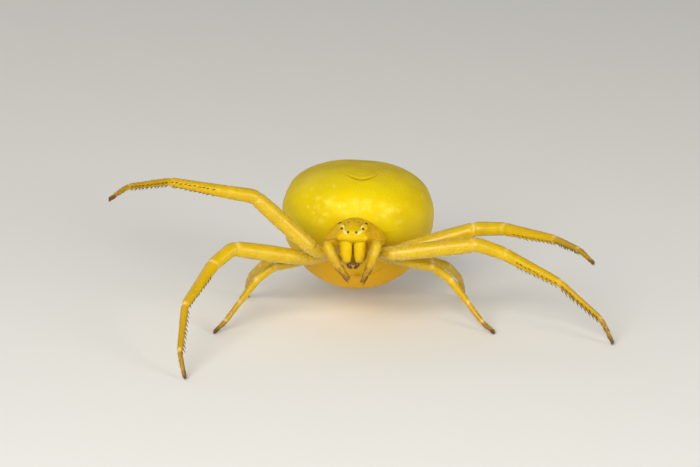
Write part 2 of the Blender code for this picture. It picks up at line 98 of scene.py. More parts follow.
# Mouth lobe, lip between the jaws and eye mound, with half sizes. The right side mirrors the left
MOUTH_LOBE_AT = (0.42, -0.36, -0.80)
MOUTH_LOBE_SIZE = (0.36, 0.36, 0.34)
LIP_AT = Vector((0.0, -0.88, -0.85))
LIP_SIZE = (0.21, 0.30, 0.46)
EYE_MOUND_AT = (0.60, -1.24, 0.78)
EYE_MOUND_SIZE = (0.215, 0.29, 0.215)
# Eyes of the left side: place and radius
EYES = {
    "front_middle": ((0.22, -1.62, 0.58), 0.09),
    "front_side": ((0.575, -1.50, 0.77), 0.12),
    "back_middle": ((0.28, -0.92, 1.02), 0.065),
    "back_side": ((0.69, -1.12, 0.95), 0.09),
}
FLESH_VOXEL = 0.03

# Abdomen: the middle of its widest level, and how far it reaches from there
ABDOMEN_AT = Vector((0.28, 6.40, 5.24))
ABDOMEN_HALF_WIDTH = 4.15
ABDOMEN_TO_TOP = 2.70
ABDOMEN_TO_BELLY = 4.30
ABDOMEN_TO_FRONT = 3.75
ABDOMEN_TO_REAR = 4.10
ABDOMEN_ROLL_DEG = 2.5
ABDOMEN_FRONT_TAPER = 0.12
ABDOMEN_FRONT_SLOPE = 0.50
ABDOMEN_BACK_SQUARENESS = 0.35
ABDOMEN_SEGMENTS = 420
ABDOMEN_RINGS = 260

SPINNERETS_AT = Vector((0.28, 10.00, 3.55))
SPINNERET_BASE_SIZE = (0.62, 0.48, 0.78)
SPINNERET_RADIUS = 0.24
SPINNERET_LENGTH = 0.78
SPINNERET_SPREAD = 0.25
SPINNERET_TIP_SPREAD = 0.84
SPINNERET_DROOP = 0.08
# Share of the length, and share of the radius there
SPINNERET_TAPER = ((0, 1), (0.55, 0.95), (0.62, 0.78), (0.9, 0.66), (1, 0.3))
ANAL_MOUND_RISE = 0.47

# Centre lines of the left jaw and the left fang from the face down, with their radii
JAW_LINE = ((0.355, 0.44, 5.45), (0.37, 0.38, 4.95), (0.345, 0.34, 4.55), (0.30, 0.32, 4.16))
JAW_RADII = (0.335, 0.33, 0.28, 0.165)
FANG_LINE = ((0.25, 0.28, 4.15), (0.19, 0.23, 4.02), (0.10, 0.24, 3.94), (0.018, 0.31, 3.91))
FANG_RADII = (0.125, 0.105, 0.07, 0.014)

# Palps: joints from the mouth lobe to the tip
PALPS = {
    "right": (
        (-0.78, 0.78, 4.20), (-1.14, 0.28, 4.74), (-1.38, -0.10, 5.44),
        (-1.18, -0.38, 4.92), (-0.86, -0.44, 4.36), (-0.24, -0.38, 3.46),
    ),
    "left": (
        (0.78, 0.78, 4.20), (1.12, 0.28, 4.78), (1.30, -0.10, 5.48),
        (1.16, -0.38, 4.96), (0.94, -0.44, 4.36), (0.50, -0.38, 3.34),
    ),
}
PALP_RADII = ((0.22, 0.24), (0.23, 0.25), (0.26, 0.25), (0.245, 0.235), (0.22, 0.09))
PALP_VENTRAL = (0.0, 0.6, -0.8)

# Lengths of femur, patella, tibia, metatarsus and tarsus
LONG_LEG = (4.50, 1.45, 3.40, 3.00, 1.40)
THIRD_LEG = (2.30, 1.05, 1.60, 1.35, 0.85)
FOURTH_LEG = (2.60, 1.00, 1.90, 1.45, 0.90)
# Radii at the start and end of coxa, femur, patella, tibia, metatarsus and tarsus
LONG_LEG_RADII = ((0.22, 0.33), (0.34, 0.40), (0.39, 0.35), (0.35, 0.23), (0.20, 0.15), (0.13, 0.078))
SHORT_LEG_RADII = ((0.20, 0.25), (0.24, 0.25), (0.25, 0.22), (0.22, 0.17), (0.155, 0.13), (0.12, 0.08))
# The femur is segment 1, after the coxa, and swells in its middle
FEMUR = 1
LONG_LEG_FEMUR_SWELL = 0.07
SHORT_LEG_FEMUR_SWELL = 0.035
FOOT_HEIGHT = 0.14

# Pose: root of the coxa, start of the femur, the direction of each segment after it as
# (turn about Z from +X, rise) in degrees, and where the underside of the leg faces
LEGS = {
    "right_1": {
        "root": (-1.02, 1.34, 4.50), "start": (-1.92, 0.80, 4.61), "lengths": LONG_LEG,
        "aim": ((178, 43), (206, 15), (199, 15), (227, 6), (230, -16)),
        "stands": False, "ventral": (0.25, -1.0, -0.40),
    },
    "left_1": {
        "root": (1.06, 1.34, 4.50), "start": (2.05, 0.80, 4.53), "lengths": LONG_LEG,
        "aim": ((0, 7), (-8, -17), (-12, -25), (-12, -40), (-30, -61)),
        "stands": True, "ventral": (-0.5, -0.7, -0.6),
    },
    "right_2": {
        "root": (-1.12, 1.88, 4.38), "start": (-2.22, 1.78, 3.98), "lengths": LONG_LEG,
        "aim": ((200, 13), (222, -24), (243, -25), (266, -36), (288, -52)),
        "stands": True, "ventral": (0.8, 0.1, -0.6),
    },
    "left_2": {
        "root": (1.16, 1.90, 4.38), "start": (2.32, 1.84, 4.35), "lengths": LONG_LEG,
        "aim": ((2, 16), (-22, 6), (-38, 0), (-70, 5), (-62, -14)),
        "stands": False, "ventral": (-0.5, -0.3, -0.8),
    },
    "right_3": {
        "root": (-1.02, 2.40, 4.32), "start": (-2.02, 2.62, 3.80), "lengths": THIRD_LEG,
        "aim": ((182, -12), (190, -36), (200, -50), (212, -46), (220, -33)),
        "stands": True, "ventral": (0.5, 0.0, -0.9),
    },
    "left_3": {
        "root": (1.10, 2.40, 4.32), "start": (2.12, 2.62, 3.76), "lengths": THIRD_LEG,
        "aim": ((-3, -12), (-10, -36), (-20, -50), (-32, -46), (-40, -30)),
        "stands": True, "ventral": (-0.5, 0.0, -0.9),
    },
    "right_4": {
        "root": (-0.80, 2.90, 4.20), "start": (-1.70, 3.32, 3.56), "lengths": FOURTH_LEG,
        "aim": ((160, -9), (145, -20), (120, -36), (102, -46), (90, -52)),
        "stands": True, "ventral": (0.6, -0.2, -0.8),
    },
    "left_4": {
        "root": (0.94, 2.88, 4.18), "start": (1.92, 3.24, 3.52), "lengths": FOURTH_LEG,
        "aim": ((20, -9), (35, -20), (60, -36), (78, -46), (90, -52)),
        "stands": True, "ventral": (-0.6, -0.2, -0.8),
    },
}
KNEE_ROUNDING = 0.34
CORNER_POINTS = 17
MOST_OF_SEGMENT = 0.45
LIMB_RING_STEP = 0.055
LIMB_SIDES = 26

# Narrowings at the joints of a leg: place in segments, and how deep as a share of the radius
LEG_JOINTS = ((0.74, 0.10), (1.0, 0.13), (2.0, 0.15), (3.0, 0.09), (4.0, 0.17), (5.0, 0.07))
PALP_JOINTS = ((1.0, 0.12), (2.0, 0.14), (3.0, 0.12), (4.0, 0.14))
JOINT_HALF_WIDTH = 0.07
# Half width of the pale joints and their painted highlight
JOINT_PALE_AND_HIGHLIGHT_HALF_WIDTH = 0.09
# How strong the pale joints of the palps, with their painted highlight, are beside those of the legs
PALP_BANDS = 0.15
JOINT_LIP = 0.035
JOINT_LIP_AT = 0.17

# Camera: its target, how far off it stands and how steeply it looks down
CAMERA_TARGET = Vector((-0.158, 0.0, 5.9))
CAMERA_DISTANCE = 165.0
CAMERA_RISE = math.radians(16.0)
CAMERA_FORWARD = Vector((0.0, math.cos(CAMERA_RISE), -math.sin(CAMERA_RISE)))
CAMERA_UP = Vector((0.0, math.sin(CAMERA_RISE), math.cos(CAMERA_RISE)))
CAMERA_RIGHT = Vector((1.0, 0.0, 0.0))
CAMERA_AT = CAMERA_TARGET - CAMERA_DISTANCE * CAMERA_FORWARD
CAMERA_LENS = 161.2
SENSOR_WIDTH = 36.0
PHOTO_WIDTH = 700
PHOTO_HEIGHT = 467


def frame_shift():
    """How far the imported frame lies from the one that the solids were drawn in, in millimetres."""
    place, _ = EYES["front_middle"]
    drawn = front_body_matrix() @ Vector(place)
    low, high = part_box("eye_front_middle_left")
    packed = (Vector(low) + Vector(high)) / 2 / MM
    return packed - drawn


def front_body_matrix():
    turn = Matrix.Rotation(math.radians(-BODY_TURN_DEG), 4, "Z")
    pitch = Matrix.Rotation(math.radians(-HEAD_UP_DEG), 4, "X")
    return turn @ Matrix.Translation(FRONT_BODY_AT) @ pitch


TO_METRES = Matrix.Scale(MM, 4) @ Matrix.Translation(frame_shift())


@contextmanager
def edited(mesh):
    """A mesh open for editing, and written back at the end."""
    bm = bmesh.new()
    bm.from_mesh(mesh)
    yield bm
    bm.to_mesh(mesh)
    bm.free()


def add_object(name, mesh):
    obj = bpy.data.objects.new(name, mesh)
    bpy.context.scene.collection.objects.link(obj)
    return obj


def dress(obj, material):
    """Gives the whole of a piece one material, shaded smooth."""
    obj.data.materials.clear()
    obj.data.materials.append(material)
    obj.data.polygons.foreach_set("material_index", np.zeros(len(obj.data.polygons), dtype=np.int32))
    obj.data.shade_smooth()


def settle(obj, slot, *replaced):
    """Takes a finished piece to metres, inside the solids' box, and lets it ride on the body."""
    obj.data.transform(TO_METRES)
    place_vertices(obj.data, np.clip(vertex_array(obj.data), *CAD_BOX))
    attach(obj, "root")
    if replaced:
        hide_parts(*replaced)


def mesh_object(name, points, faces):
    """An object of closed surfaces, with their faces turned outward."""
    mesh = bpy.data.meshes.new(name)
    mesh.from_pydata(points.tolist(), [], faces)
    with edited(mesh) as bm:
        bmesh.ops.recalc_face_normals(bm, faces=bm.faces)
    return add_object(name, mesh)


def grid_object(name, rings):
    """A closed mesh through equal rings (rings, sides, 3), with a flat cap on each end."""
    count, sides = len(rings), len(rings[0])
    points = np.asarray(rings, dtype=float).reshape(-1, 3)
    start = np.arange(count - 1)[:, None] * sides
    here = np.arange(sides)[None, :]
    there = (here + 1) % sides
    quads = np.stack((start + here, start + there, start + sides + there, start + sides + here), axis=-1)
    faces = quads.reshape(-1, 4).tolist()
    faces.append(list(range(sides))[::-1])
    faces.append(list(range((count - 1) * sides, count * sides)))
    return mesh_object(name, points, faces)


def apply_modifiers(obj):
    graph = bpy.context.evaluated_depsgraph_get()
    mesh = bpy.data.meshes.new_from_object(obj.evaluated_get(graph))
    obj.modifiers.clear()
    obj.data = mesh


def unite(obj, others):
    """Fuses obj with the other closed objects, which are then removed."""
    group = bpy.data.collections.new("others")
    bpy.context.scene.collection.children.link(group)
    for other in others:
        group.objects.link(other)
    modifier = obj.modifiers.new("Union", "BOOLEAN")
    modifier.operation = "UNION"
    modifier.operand_type = "COLLECTION"
    modifier.collection = group
    modifier.solver = "MANIFOLD"
    modifier.material_mode = "TRANSFER"
    apply_modifiers(obj)
    for other in others:
        bpy.data.objects.remove(other)
    bpy.data.collections.remove(group)


def melt(obj, smoothing=0):
    """Blends the parts of a piece into one form by voxels, and then smooths it."""
    remesh = obj.modifiers.new("Remesh", "REMESH")
    remesh.mode = "VOXEL"
    remesh.voxel_size = FLESH_VOXEL
    if smoothing:
        smooth = obj.modifiers.new("Smooth", "SMOOTH")
        smooth.factor = 0.5
        smooth.iterations = smoothing
    apply_modifiers(obj)


def spline_between(rows, share):
    """A smooth value of every column between evenly numbered rows; share runs from 0 to len(rows) - 1."""
    index = min(int(share), len(rows) - 2)
    u = share - index
    before, start, end, after = (
        np.array(rows[min(max(index + k, 0), len(rows) - 1)]) for k in (-1, 0, 1, 2)
    )
    slope_in, slope_out = (end - before) / 2, (after - start) / 2
    return (
        (2 * u**3 - 3 * u**2 + 1) * start
        + (u**3 - 2 * u**2 + u) * slope_in
        + (-2 * u**3 + 3 * u**2) * end
        + (u**3 - u**2) * slope_out
    )


def ball(name, middle, half_sizes, segments=32, rings=20):
    mesh = bpy.data.meshes.new(name)
    with edited(mesh) as bm:
        bmesh.ops.create_uvsphere(bm, u_segments=segments, v_segments=rings, radius=1.0)
        bmesh.ops.scale(bm, vec=half_sizes, verts=bm.verts)
        bmesh.ops.translate(bm, vec=middle, verts=bm.verts)
    return add_object(name, mesh)


def signed_power(values, power):
    return np.sign(values) * np.abs(values) ** power


def vertex_array(mesh, kind="co"):
    """The places of all vertices, or with kind "normal" their normals, one row each."""
    values = np.empty(len(mesh.vertices) * 3)
    mesh.vertices.foreach_get(kind, values)
    return values.reshape(-1, 3)


def place_vertices(mesh, places):
    mesh.vertices.foreach_set("co", places.astype(np.float32).ravel())
    mesh.update()


def hump(distance, width):
    """A bell curve of height one."""
    return np.exp(-((distance / width) ** 2))


def climb(values, start, length):
    """From 0 at start to 1 at a length from there, which is on the lower side if it is below zero."""
    return np.clip((values - start) / length, 0, 1)


def front_body_ring(station):
    along, half_width, top, widest, underside = station
    angle = math.tau * np.arange(FRONT_BODY_SIDES) / FRONT_BODY_SIDES
    upper = np.sin(angle) > 0
    power = 2 / np.where(upper, CARAPACE_ROUNDNESS, UNDERSIDE_ROUNDNESS)
    x = signed_power(np.cos(angle), power) * half_width
    rise = signed_power(np.sin(angle), power)
    z = widest + rise * np.where(upper, top - widest, widest - underside)
    return np.stack((x, np.full_like(x, along), z), axis=-1)


def front_body_flesh():
    """Carapace, face, breastplate, waist, eye mounds and mouth lobes blended into one form."""
    steps = RINGS_A_STATION * (len(FRONT_BODY_STATIONS) - 1)
    rings = [
        front_body_ring(spline_between(FRONT_BODY_STATIONS, i / RINGS_A_STATION))
        for i in range(steps + 1)
    ]
    face = rings[0]
    middle = face.mean(axis=0)
    for share, forward in FACE_DOME_RINGS:
        ring = middle + (face - middle) * share
        ring[:, 1] -= forward
        rings.insert(0, ring)
    body = grid_object("front_body_flesh", rings)
    pieces = [ball("lip", LIP_AT, LIP_SIZE)]
    for side in (-1, 1):
        for name, (x, y, z), size in (
            ("lobe", MOUTH_LOBE_AT, MOUTH_LOBE_SIZE),
            ("mound", EYE_MOUND_AT, EYE_MOUND_SIZE),
        ):
            pieces.append(ball(name, (side * x, y, z), size))
    unite(body, pieces)
    melt(body, smoothing=5)
    carve_front_body(body.data)
    body.data.transform(front_body_matrix())
    return body


def eye_distances(side, y, z):
    """Each eye's radius, and how far places are from it, with the right side folded onto the left."""
    for (ex, ey, ez), radius in EYES.values():
        yield radius, np.sqrt((side - ex) ** 2 + (y - ey) ** 2 + (z - ez) ** 2)


# Relief of the front body: bulges under the eyes, the groove and lip along the carapace's rim, the line
# behind the head, the furrows that run out from the middle of its back, and the pit there
EYE_BULGE = 0.028
RIM_GROOVE = 0.05
RIM_LIP = 0.02
RIM_WIDTH = 0.05
HEAD_LINE_DEPTH = 0.028
HEAD_LINE_WIDTH = 0.10
CARAPACE_FURROWS = (0.15, 0.62, 1.05)
CARAPACE_FURROW_DEPTH = 0.018
CARAPACE_FURROW_WIDTH = 0.08
PIT_Y = 0.55
PIT_HALF_SIZE = (0.05, 0.22)
PIT_DEPTH = 0.03


def carve_front_body(mesh):
    places, normals = vertex_array(mesh), vertex_array(mesh, "normal")
    x, y, z = places.T
    side = np.abs(x)
    lift = np.zeros(len(places))
    for radius, distance in eye_distances(side, y, z):
        lift += EYE_BULGE * hump(distance, radius * 1.6)
    stations = np.array(FRONT_BODY_STATIONS)
    widest = np.interp(y, stations[:, 0], stations[:, 3])
    behind_face = climb(y, -1.25, 0.35)
    lift -= RIM_GROOVE * hump(z - widest + 0.09, RIM_WIDTH) * behind_face * (normals[:, 2] < 0.75)
    lift += RIM_LIP * hump(z - widest - 0.03, RIM_WIDTH) * behind_face * (normals[:, 2] < 0.75)
    head_line = y - (0.30 - 1.25 * side**1.3)
    lift -= HEAD_LINE_DEPTH * hump(head_line, HEAD_LINE_WIDTH) * (z > 0.35) * climb(side, 0, 0.25)
    for end in CARAPACE_FURROWS:
        furrow = hump(y - (0.45 + (end - 0.45) * side / 1.2), CARAPACE_FURROW_WIDTH)
        lift -= CARAPACE_FURROW_DEPTH * furrow * climb(side, 0.35, 0.25) * (z > 0.0)
    half_width, half_length = PIT_HALF_SIZE
    lift -= PIT_DEPTH * hump(np.hypot(side / half_width, (y - PIT_Y) / half_length), 1.0) * (z > 0.5)
    place_vertices(mesh, places + normals * lift[:, None])


def abdomen_surface(directions):
    """Where the abdomen's surface lies in unit directions from the middle of its widest level."""
    x, y, z = directions.T
    power = 2 + ABDOMEN_BACK_SQUARENESS * np.clip(2 * z, 0.0, 1.0)
    reach = (np.abs(x) ** power + np.abs(y) ** power + np.abs(z) ** power) ** (-1 / power)
    x, y, z = x * reach, y * reach, z * reach
    forward, down = np.maximum(0.0, -y), np.maximum(0.0, -z)
    half_width = ABDOMEN_HALF_WIDTH * (1 - ABDOMEN_FRONT_TAPER * forward**2)
    sloped_front = ABDOMEN_TO_FRONT * (1 - ABDOMEN_FRONT_SLOPE * down)
    half_length = np.where(y < 0, sloped_front, ABDOMEN_TO_REAR)
    half_height = np.where(z > 0, ABDOMEN_TO_TOP, ABDOMEN_TO_BELLY)
    turn = np.array(Matrix.Rotation(math.radians(ABDOMEN_ROLL_DEG), 3, "Y"))
    return np.stack((x * half_width, y * half_length, z * half_height), axis=-1) @ turn.T + ABDOMEN_AT


def abdomen_flesh():
    """The abdomen as a sphere grid with its poles at the waist and at the rear."""
    turn = math.tau * np.arange(ABDOMEN_SEGMENTS) / ABDOMEN_SEGMENTS
    rings = []
    for i in range(ABDOMEN_RINGS):
        tilt = math.pi * (i + 0.5) / ABDOMEN_RINGS
        level = math.sin(tilt)
        directions = np.stack(
            (np.cos(turn) * level, np.full_like(turn, -math.cos(tilt)), np.sin(turn) * level), axis=-1
        )
        rings.append(abdomen_surface(directions))
    body = grid_object("abdomen_flesh", rings)
    carve_abdomen(body.data)
    return body


# Dents on the abdomen's back: place across and along from its middle, radius and depth
ABDOMEN_DENTS = (
    (0.24, -1.05, 0.10, 0.030),
    (-0.80, -0.25, 0.12, 0.030),
    (1.20, -0.25, 0.12, 0.030),
    (-1.10, 1.05, 0.15, 0.045),
    (1.50, 1.05, 0.15, 0.045),
    (-0.95, 2.05, 0.11, 0.025),
    (1.40, 2.05, 0.11, 0.025),
)
# The shallow fold on the front of its back: middle, half length, sag towards the front, width, depth
FOLD_AT = (0.16, -2.02)
FOLD_HALF_LENGTH = 0.80
FOLD_SAG = 0.55
FOLD_WIDTH = 0.060
FOLD_DEPTH = 0.052
FOLD_RIM_BEHIND = 0.20
FOLD_RIM_WIDTH = 0.15
# The faint furrow along the middle of its back: place across, width, depth, first and last place along
BACK_FURROW_AT = 0.24
BACK_FURROW_WIDTH = 0.10
BACK_FURROW_DEPTH = 0.012
BACK_FURROW_ENDS = (-0.8, 3.2)
BACK_FURROW_FADE = 0.8


def fold_share(x, y):
    """How far places on the abdomen's back lie behind the fold's line, and how strong it is there."""
    across = (x - FOLD_AT[0]) / FOLD_HALF_LENGTH
    return y - FOLD_AT[1] - FOLD_SAG * across**2, hump(across**2, 1.1)


# The furrow across the front of the belly: middle, half length, width and depth, and the plate before it
FURROW_AT = (0.0, -1.65)
FURROW_HALF_LENGTH = 1.3
FURROW_WIDTH = 0.07
FURROW_DEPTH = 0.035
PLATE_RADIUS = 0.22
PLATE_RISE = 0.05
# Wrinkles low on its sides, and the slow swell of its whole skin
WRINKLE_HEIGHT = 0.014
SWELL_HEIGHT = 0.012
SMALL_SWELL_HEIGHT = 0.008


def belly_marks(x, y, z):
    """How strong the belly's furrow is, and the dark plate before its middle."""
    x, y = x - FURROW_AT[0], y - FURROW_AT[1]
    below = z < -1.5
    return (
        hump(y + 0.12 * x**2, FURROW_WIDTH) * hump(x, FURROW_HALF_LENGTH) * below,
        hump(np.hypot(x, 1.4 * (y + 0.12)), PLATE_RADIUS) * below,
    )


def carve_abdomen(mesh):
    places, normals = vertex_array(mesh), vertex_array(mesh, "normal")
    x, y, z = (places - np.array(ABDOMEN_AT)).T
    top = climb(z, 0, 0.8)
    lift = np.zeros(len(places))
    for dent_x, dent_y, radius, depth in ABDOMEN_DENTS:
        lift -= depth * hump(np.hypot(x - dent_x, y - dent_y), radius) * top
    behind, strength = fold_share(x, y)
    fold = hump(behind, FOLD_WIDTH) - 0.6 * hump(behind - FOLD_RIM_BEHIND, FOLD_RIM_WIDTH)
    lift -= FOLD_DEPTH * fold * strength * top
    furrow, plate = belly_marks(x, y, z)
    lift += PLATE_RISE * plate - FURROW_DEPTH * furrow
    low = climb(z, 0, -1.2) * climb(y, -1.4, 2.0)
    lift += WRINKLE_HEIGHT * np.sin(z * 7.0 + 0.6 * np.sin(y * 1.3)) * low
    start, end = BACK_FURROW_ENDS
    middle_back = (
        hump(x - BACK_FURROW_AT, BACK_FURROW_WIDTH)
        * climb(y, start, BACK_FURROW_FADE) * climb(y, end, -BACK_FURROW_FADE)
    )
    lift -= BACK_FURROW_DEPTH * middle_back * top
    lift += (
        SWELL_HEIGHT * np.sin(x * 2.1 + 1.0) * np.sin(y * 2.6)
        + SMALL_SWELL_HEIGHT * np.sin(z * 3.3 + x * 1.7)
    )
    place_vertices(mesh, places + normals * lift[:, None])


def rounded_line(joints, rounding):
    """Points along the joints with rounded corners, and each point's place counted in segments."""
    points, shares = [joints[0]], [0.0]
    for i in range(1, len(joints) - 1):
        before, corner, after = joints[i - 1], joints[i], joints[i + 1]
        back_length = np.linalg.norm(corner - before)
        on_length = np.linalg.norm(after - corner)
        back = min(rounding, back_length * MOST_OF_SEGMENT)
        on = min(rounding, on_length * MOST_OF_SEGMENT)
        start = corner + (before - corner) / back_length * back
        end = corner + (after - corner) / on_length * on
        for u in np.linspace(0, 1, CORNER_POINTS):
            points.append(start * (1 - u) ** 2 + corner * 2 * u * (1 - u) + end * u**2)
            shares.append(i - back / back_length + (back / back_length + on / on_length) * u)
    points.append(joints[-1])
    shares.append(float(len(joints) - 1))
    return np.array(points), np.array(shares)


def rows_unit(vectors):
    return vectors / np.linalg.norm(vectors, axis=-1, keepdims=True)


def round_end(share, least):
    """Radius of a round end as a share of its full radius; share is 0 at the tip and 1 where it is full."""
    return np.sqrt(np.clip(1 - (1 - np.clip(share, 0, 1)) ** 2, least, 1))


def make_limb(name, joints, radii, ventral, joint_list, swell=0.0):
    """A limb's line at even steps, with its direction, underside, radius and joints at every step."""
    joints = np.array(joints, dtype=float)
    line, line_shares = rounded_line(joints, KNEE_ROUNDING)
    gone = np.concatenate(([0.0], np.cumsum(np.linalg.norm(np.diff(line, axis=0), axis=1))))
    count = int(gone[-1] / LIMB_RING_STEP) + 1
    at = np.linspace(0.0, gone[-1], count)
    points = np.stack([np.interp(at, gone, line[:, k]) for k in range(3)], axis=-1)
    shares = np.interp(at, gone, line_shares)
    tangents = rows_unit(np.gradient(points, axis=0))
    hint = np.array(ventral, dtype=float)
    under = rows_unit(hint - tangents * (tangents @ hint)[:, None])
    segment = np.minimum(shares.astype(int), len(radii) - 1)
    part = shares - segment
    ends = np.array(radii)[segment]
    radius = ends[:, 0] + (ends[:, 1] - ends[:, 0]) * part
    radius += swell * np.sin(math.pi * part) * (segment == FEMUR)
    jointness = np.zeros(count)
    for share, depth in joint_list:
        distance = at - np.interp(share, shares, at)
        narrow = hump(distance, JOINT_HALF_WIDTH)
        lips = hump(np.abs(distance) - JOINT_LIP_AT, JOINT_HALF_WIDTH)
        radius *= 1 - depth * narrow + JOINT_LIP * lips
        # Nearness to a joint, for the pale joints and their painted highlight
        jointness = np.maximum(jointness, hump(distance, JOINT_PALE_AND_HIGHLIGHT_HALF_WIDTH))
    rounding = round_end((at[-1] - at) / radius[-1], 0.02)
    return {
        "name": name, "points": points, "shares": shares, "at": at, "tangents": tangents, "under": under,
        "side": np.cross(tangents, under), "radius": smooth_steps(radius) * rounding,
        "jointness": jointness, "last": len(radii),
    }


def smooth_steps(values):
    """Softens the steps between one segment's end and the next one's start."""
    kernel = np.array([1, 2, 3, 2, 1]) / 9
    padded = np.concatenate((values[:1], values[:1], values, values[-1:], values[-1:]))
    return np.convolve(padded, kernel, mode="valid")


def limb_surface(limb, index, angle, lift=0.0):
    """Points on a limb at ring indices and angles from its underside, and the normals there."""
    normal = (
        np.cos(angle)[..., None] * limb["under"][index] + np.sin(angle)[..., None] * limb["side"][index]
    )
    reach = limb["radius"][index] + lift
    return limb["points"][index] + normal * np.asarray(reach)[..., None], normal


def limb_flesh(limb):
    angle = math.tau * np.arange(LIMB_SIDES) / LIMB_SIDES
    rings = [
        limb_surface(limb, np.full(LIMB_SIDES, i), angle)[0] for i in range(len(limb["points"]))
    ]
    return grid_object(limb["name"], rings)


def aimed(start, length, turn_deg, rise_deg):
    turn, rise = math.radians(turn_deg), math.radians(rise_deg)
    level = math.cos(rise)
    return start + length * np.array((math.cos(turn) * level, math.sin(turn) * level, math.sin(rise)))


def leg_joints(leg):
    joints = [np.array(leg["root"]), np.array(leg["start"])]
    for length, (turn, rise) in zip(leg["lengths"], leg["aim"]):
        joints.append(aimed(joints[-1], length, turn, rise))
    if leg["stands"]:
        joints[-1][2] = FOOT_HEIGHT
    return joints


def make_limbs():
    limbs = []
    for name, leg in LEGS.items():
        is_long = leg["lengths"] is LONG_LEG
        limbs.append(make_limb(
            f"leg_{name}", leg_joints(leg), LONG_LEG_RADII if is_long else SHORT_LEG_RADII,
            leg["ventral"], LEG_JOINTS, LONG_LEG_FEMUR_SWELL if is_long else SHORT_LEG_FEMUR_SWELL,
        ))
    for side, joints in PALPS.items():
        limbs.append(make_limb(f"palp_{side}", joints, PALP_RADII, PALP_VENTRAL, PALP_JOINTS))
    return limbs


def smooth_path(points, radii, count):
    """A spline through a few points with radii, read at count places."""
    rows = [(*point, radius) for point, radius in zip(points, radii)]
    read = np.array([spline_between(rows, u) for u in np.linspace(0, len(rows) - 1, count)])
    return read[:, :3], read[:, 3]


def tube_object(name, points, radii, sides):
    """A tube through points, square to its line."""
    tangents = rows_unit(np.gradient(points, axis=0))
    across = rows_unit(np.cross(tangents, (0.0, 1.0, 0.12)))
    up = np.cross(across, tangents)
    angle = math.tau * np.arange(sides) / sides
    rings = [
        point + radius * (np.cos(angle)[:, None] * a + np.sin(angle)[:, None] * b)
        for point, radius, a, b in zip(points, radii, across, up)
    ]
    return grid_object(name, rings)


def mirrored(points, side):
    return [(side * x, y, z) for x, y, z in points]


def jaw_flesh(side):
    points, radii = smooth_path(mirrored(JAW_LINE, side), JAW_RADII, 40)
    left = np.linspace(1, 0, len(radii))
    return tube_object("jaw_flesh", points, radii * round_end(left / 0.12, 0.05), 40)


def spinneret_flesh():
    base = ball("spinneret_flesh", SPINNERETS_AT, SPINNERET_BASE_SIZE)
    places = [(sx * SPINNERET_SPREAD, sz * SPINNERET_SPREAD) for sx in (-1, 1) for sz in (-1, 1)]
    places.append((0.0, ANAL_MOUND_RISE))
    share = np.linspace(0, 1, 16)
    radii = SPINNERET_RADIUS * np.interp(share, *zip(*SPINNERET_TAPER))
    cones = []
    for x, z in places:
        root = np.array(SPINNERETS_AT) + (x, 0.0, z)
        spread = SPINNERET_TIP_SPREAD
        tip = np.array(SPINNERETS_AT) + (x * spread, SPINNERET_LENGTH, z * spread - SPINNERET_DROOP)
        cones.append(tube_object("cone", root + (tip - root) * share[:, None], radii, 24))
    unite(base, cones)
    melt(base)
    return base


def make_skin(limbs, materials):
    """Every piece of flesh fused into one closed mesh, with a material slot for each region."""
    flesh = [
        (front_body_flesh(), "carapace_cuticle"),
        (abdomen_flesh(), "abdomen_cuticle"),
        (spinneret_flesh(), "spinneret_cuticle"),
    ]
    flesh += [(jaw_flesh(side), "jaw_cuticle") for side in SIDES.values()]
    flesh += [(limb_flesh(limb), "leg_cuticle") for limb in limbs]
    for piece, material_name in flesh:
        dress(piece, materials[material_name])
    skin, *others = [piece for piece, _ in flesh]
    unite(skin, others)
    skin.name = "skin"
    with edited(skin.data) as bm:
        bmesh.ops.remove_doubles(bm, verts=bm.verts, dist=0.002)
        bmesh.ops.recalc_face_normals(bm, faces=bm.faces)
    skin.data.shade_smooth()
    paint_limbs(skin.data, limbs)
    paint_front_body(skin.data)
    paint_abdomen(skin.data)
    return skin


def set_attribute(mesh, name, values):
    attribute = mesh.attributes.new(name, "FLOAT", "POINT")
    attribute.data.foreach_set("value", np.asarray(values, dtype=np.float32))


def slots_of(mesh, material_name):
    return [i for i, material in enumerate(mesh.materials) if material.name == material_name]


def faces_of(mesh, material_name):
    """The corners of every face with a material."""
    wanted = slots_of(mesh, material_name)
    return [tuple(face.vertices) for face in mesh.polygons if face.material_index in wanted]


def vertices_of(mesh, material_name):
    """Which vertices belong to faces with a material."""
    marked = np.zeros(len(mesh.vertices), dtype=bool)
    marked[[corner for face in faces_of(mesh, material_name) for corner in face]] = True
    return marked


def paint_limbs(mesh, limbs):
    """Place along the limb, nearness to a joint and side, for every vertex of legs and palps."""
    tree = KDTree(sum(len(limb["points"]) for limb in limbs))
    owners = []
    for limb_number, limb in enumerate(limbs):
        for i, point in enumerate(limb["points"]):
            tree.insert(point, len(owners))
            owners.append((limb_number, i))
    tree.balance()
    along = np.zeros(len(mesh.vertices))
    joint = np.zeros(len(mesh.vertices))
    topness = np.zeros(len(mesh.vertices))
    for index in np.flatnonzero(vertices_of(mesh, "leg_cuticle")):
        place = mesh.vertices[index].co
        _, found, _ = tree.find(place)
        limb_number, i = owners[found]
        limb = limbs[limb_number]
        along[index] = limb["shares"][i] / limb["last"]
        joint[index] = limb["jointness"][i] * (PALP_BANDS if limb["name"].startswith("palp") else 1.0)
        out = np.array(place) - limb["points"][i]
        length = max(np.linalg.norm(out), 1e-6)
        topness[index] = -(out @ limb["under"][i]) / length
    set_attribute(mesh, "limb_along", along)
    set_attribute(mesh, "limb_joint_and_highlight", joint)
    set_attribute(mesh, "limb_top", topness)


# Whitish ridges of the face: the left one's ends in the front body's frame, width and strength
FACE_RIDGES = (
    ((0.47, -1.56, 0.66), (0.32, -1.66, 0.56), 0.06, 0.75),
    ((0.46, -1.46, 0.84), (0.50, -1.44, 0.88), 0.06, 1.0),
    ((0.66, -1.40, 0.72), (0.74, -1.26, 0.74), 0.06, 0.6),
    ((0.50, -1.22, 0.97), (0.62, -1.14, 1.00), 0.05, 0.4),
)


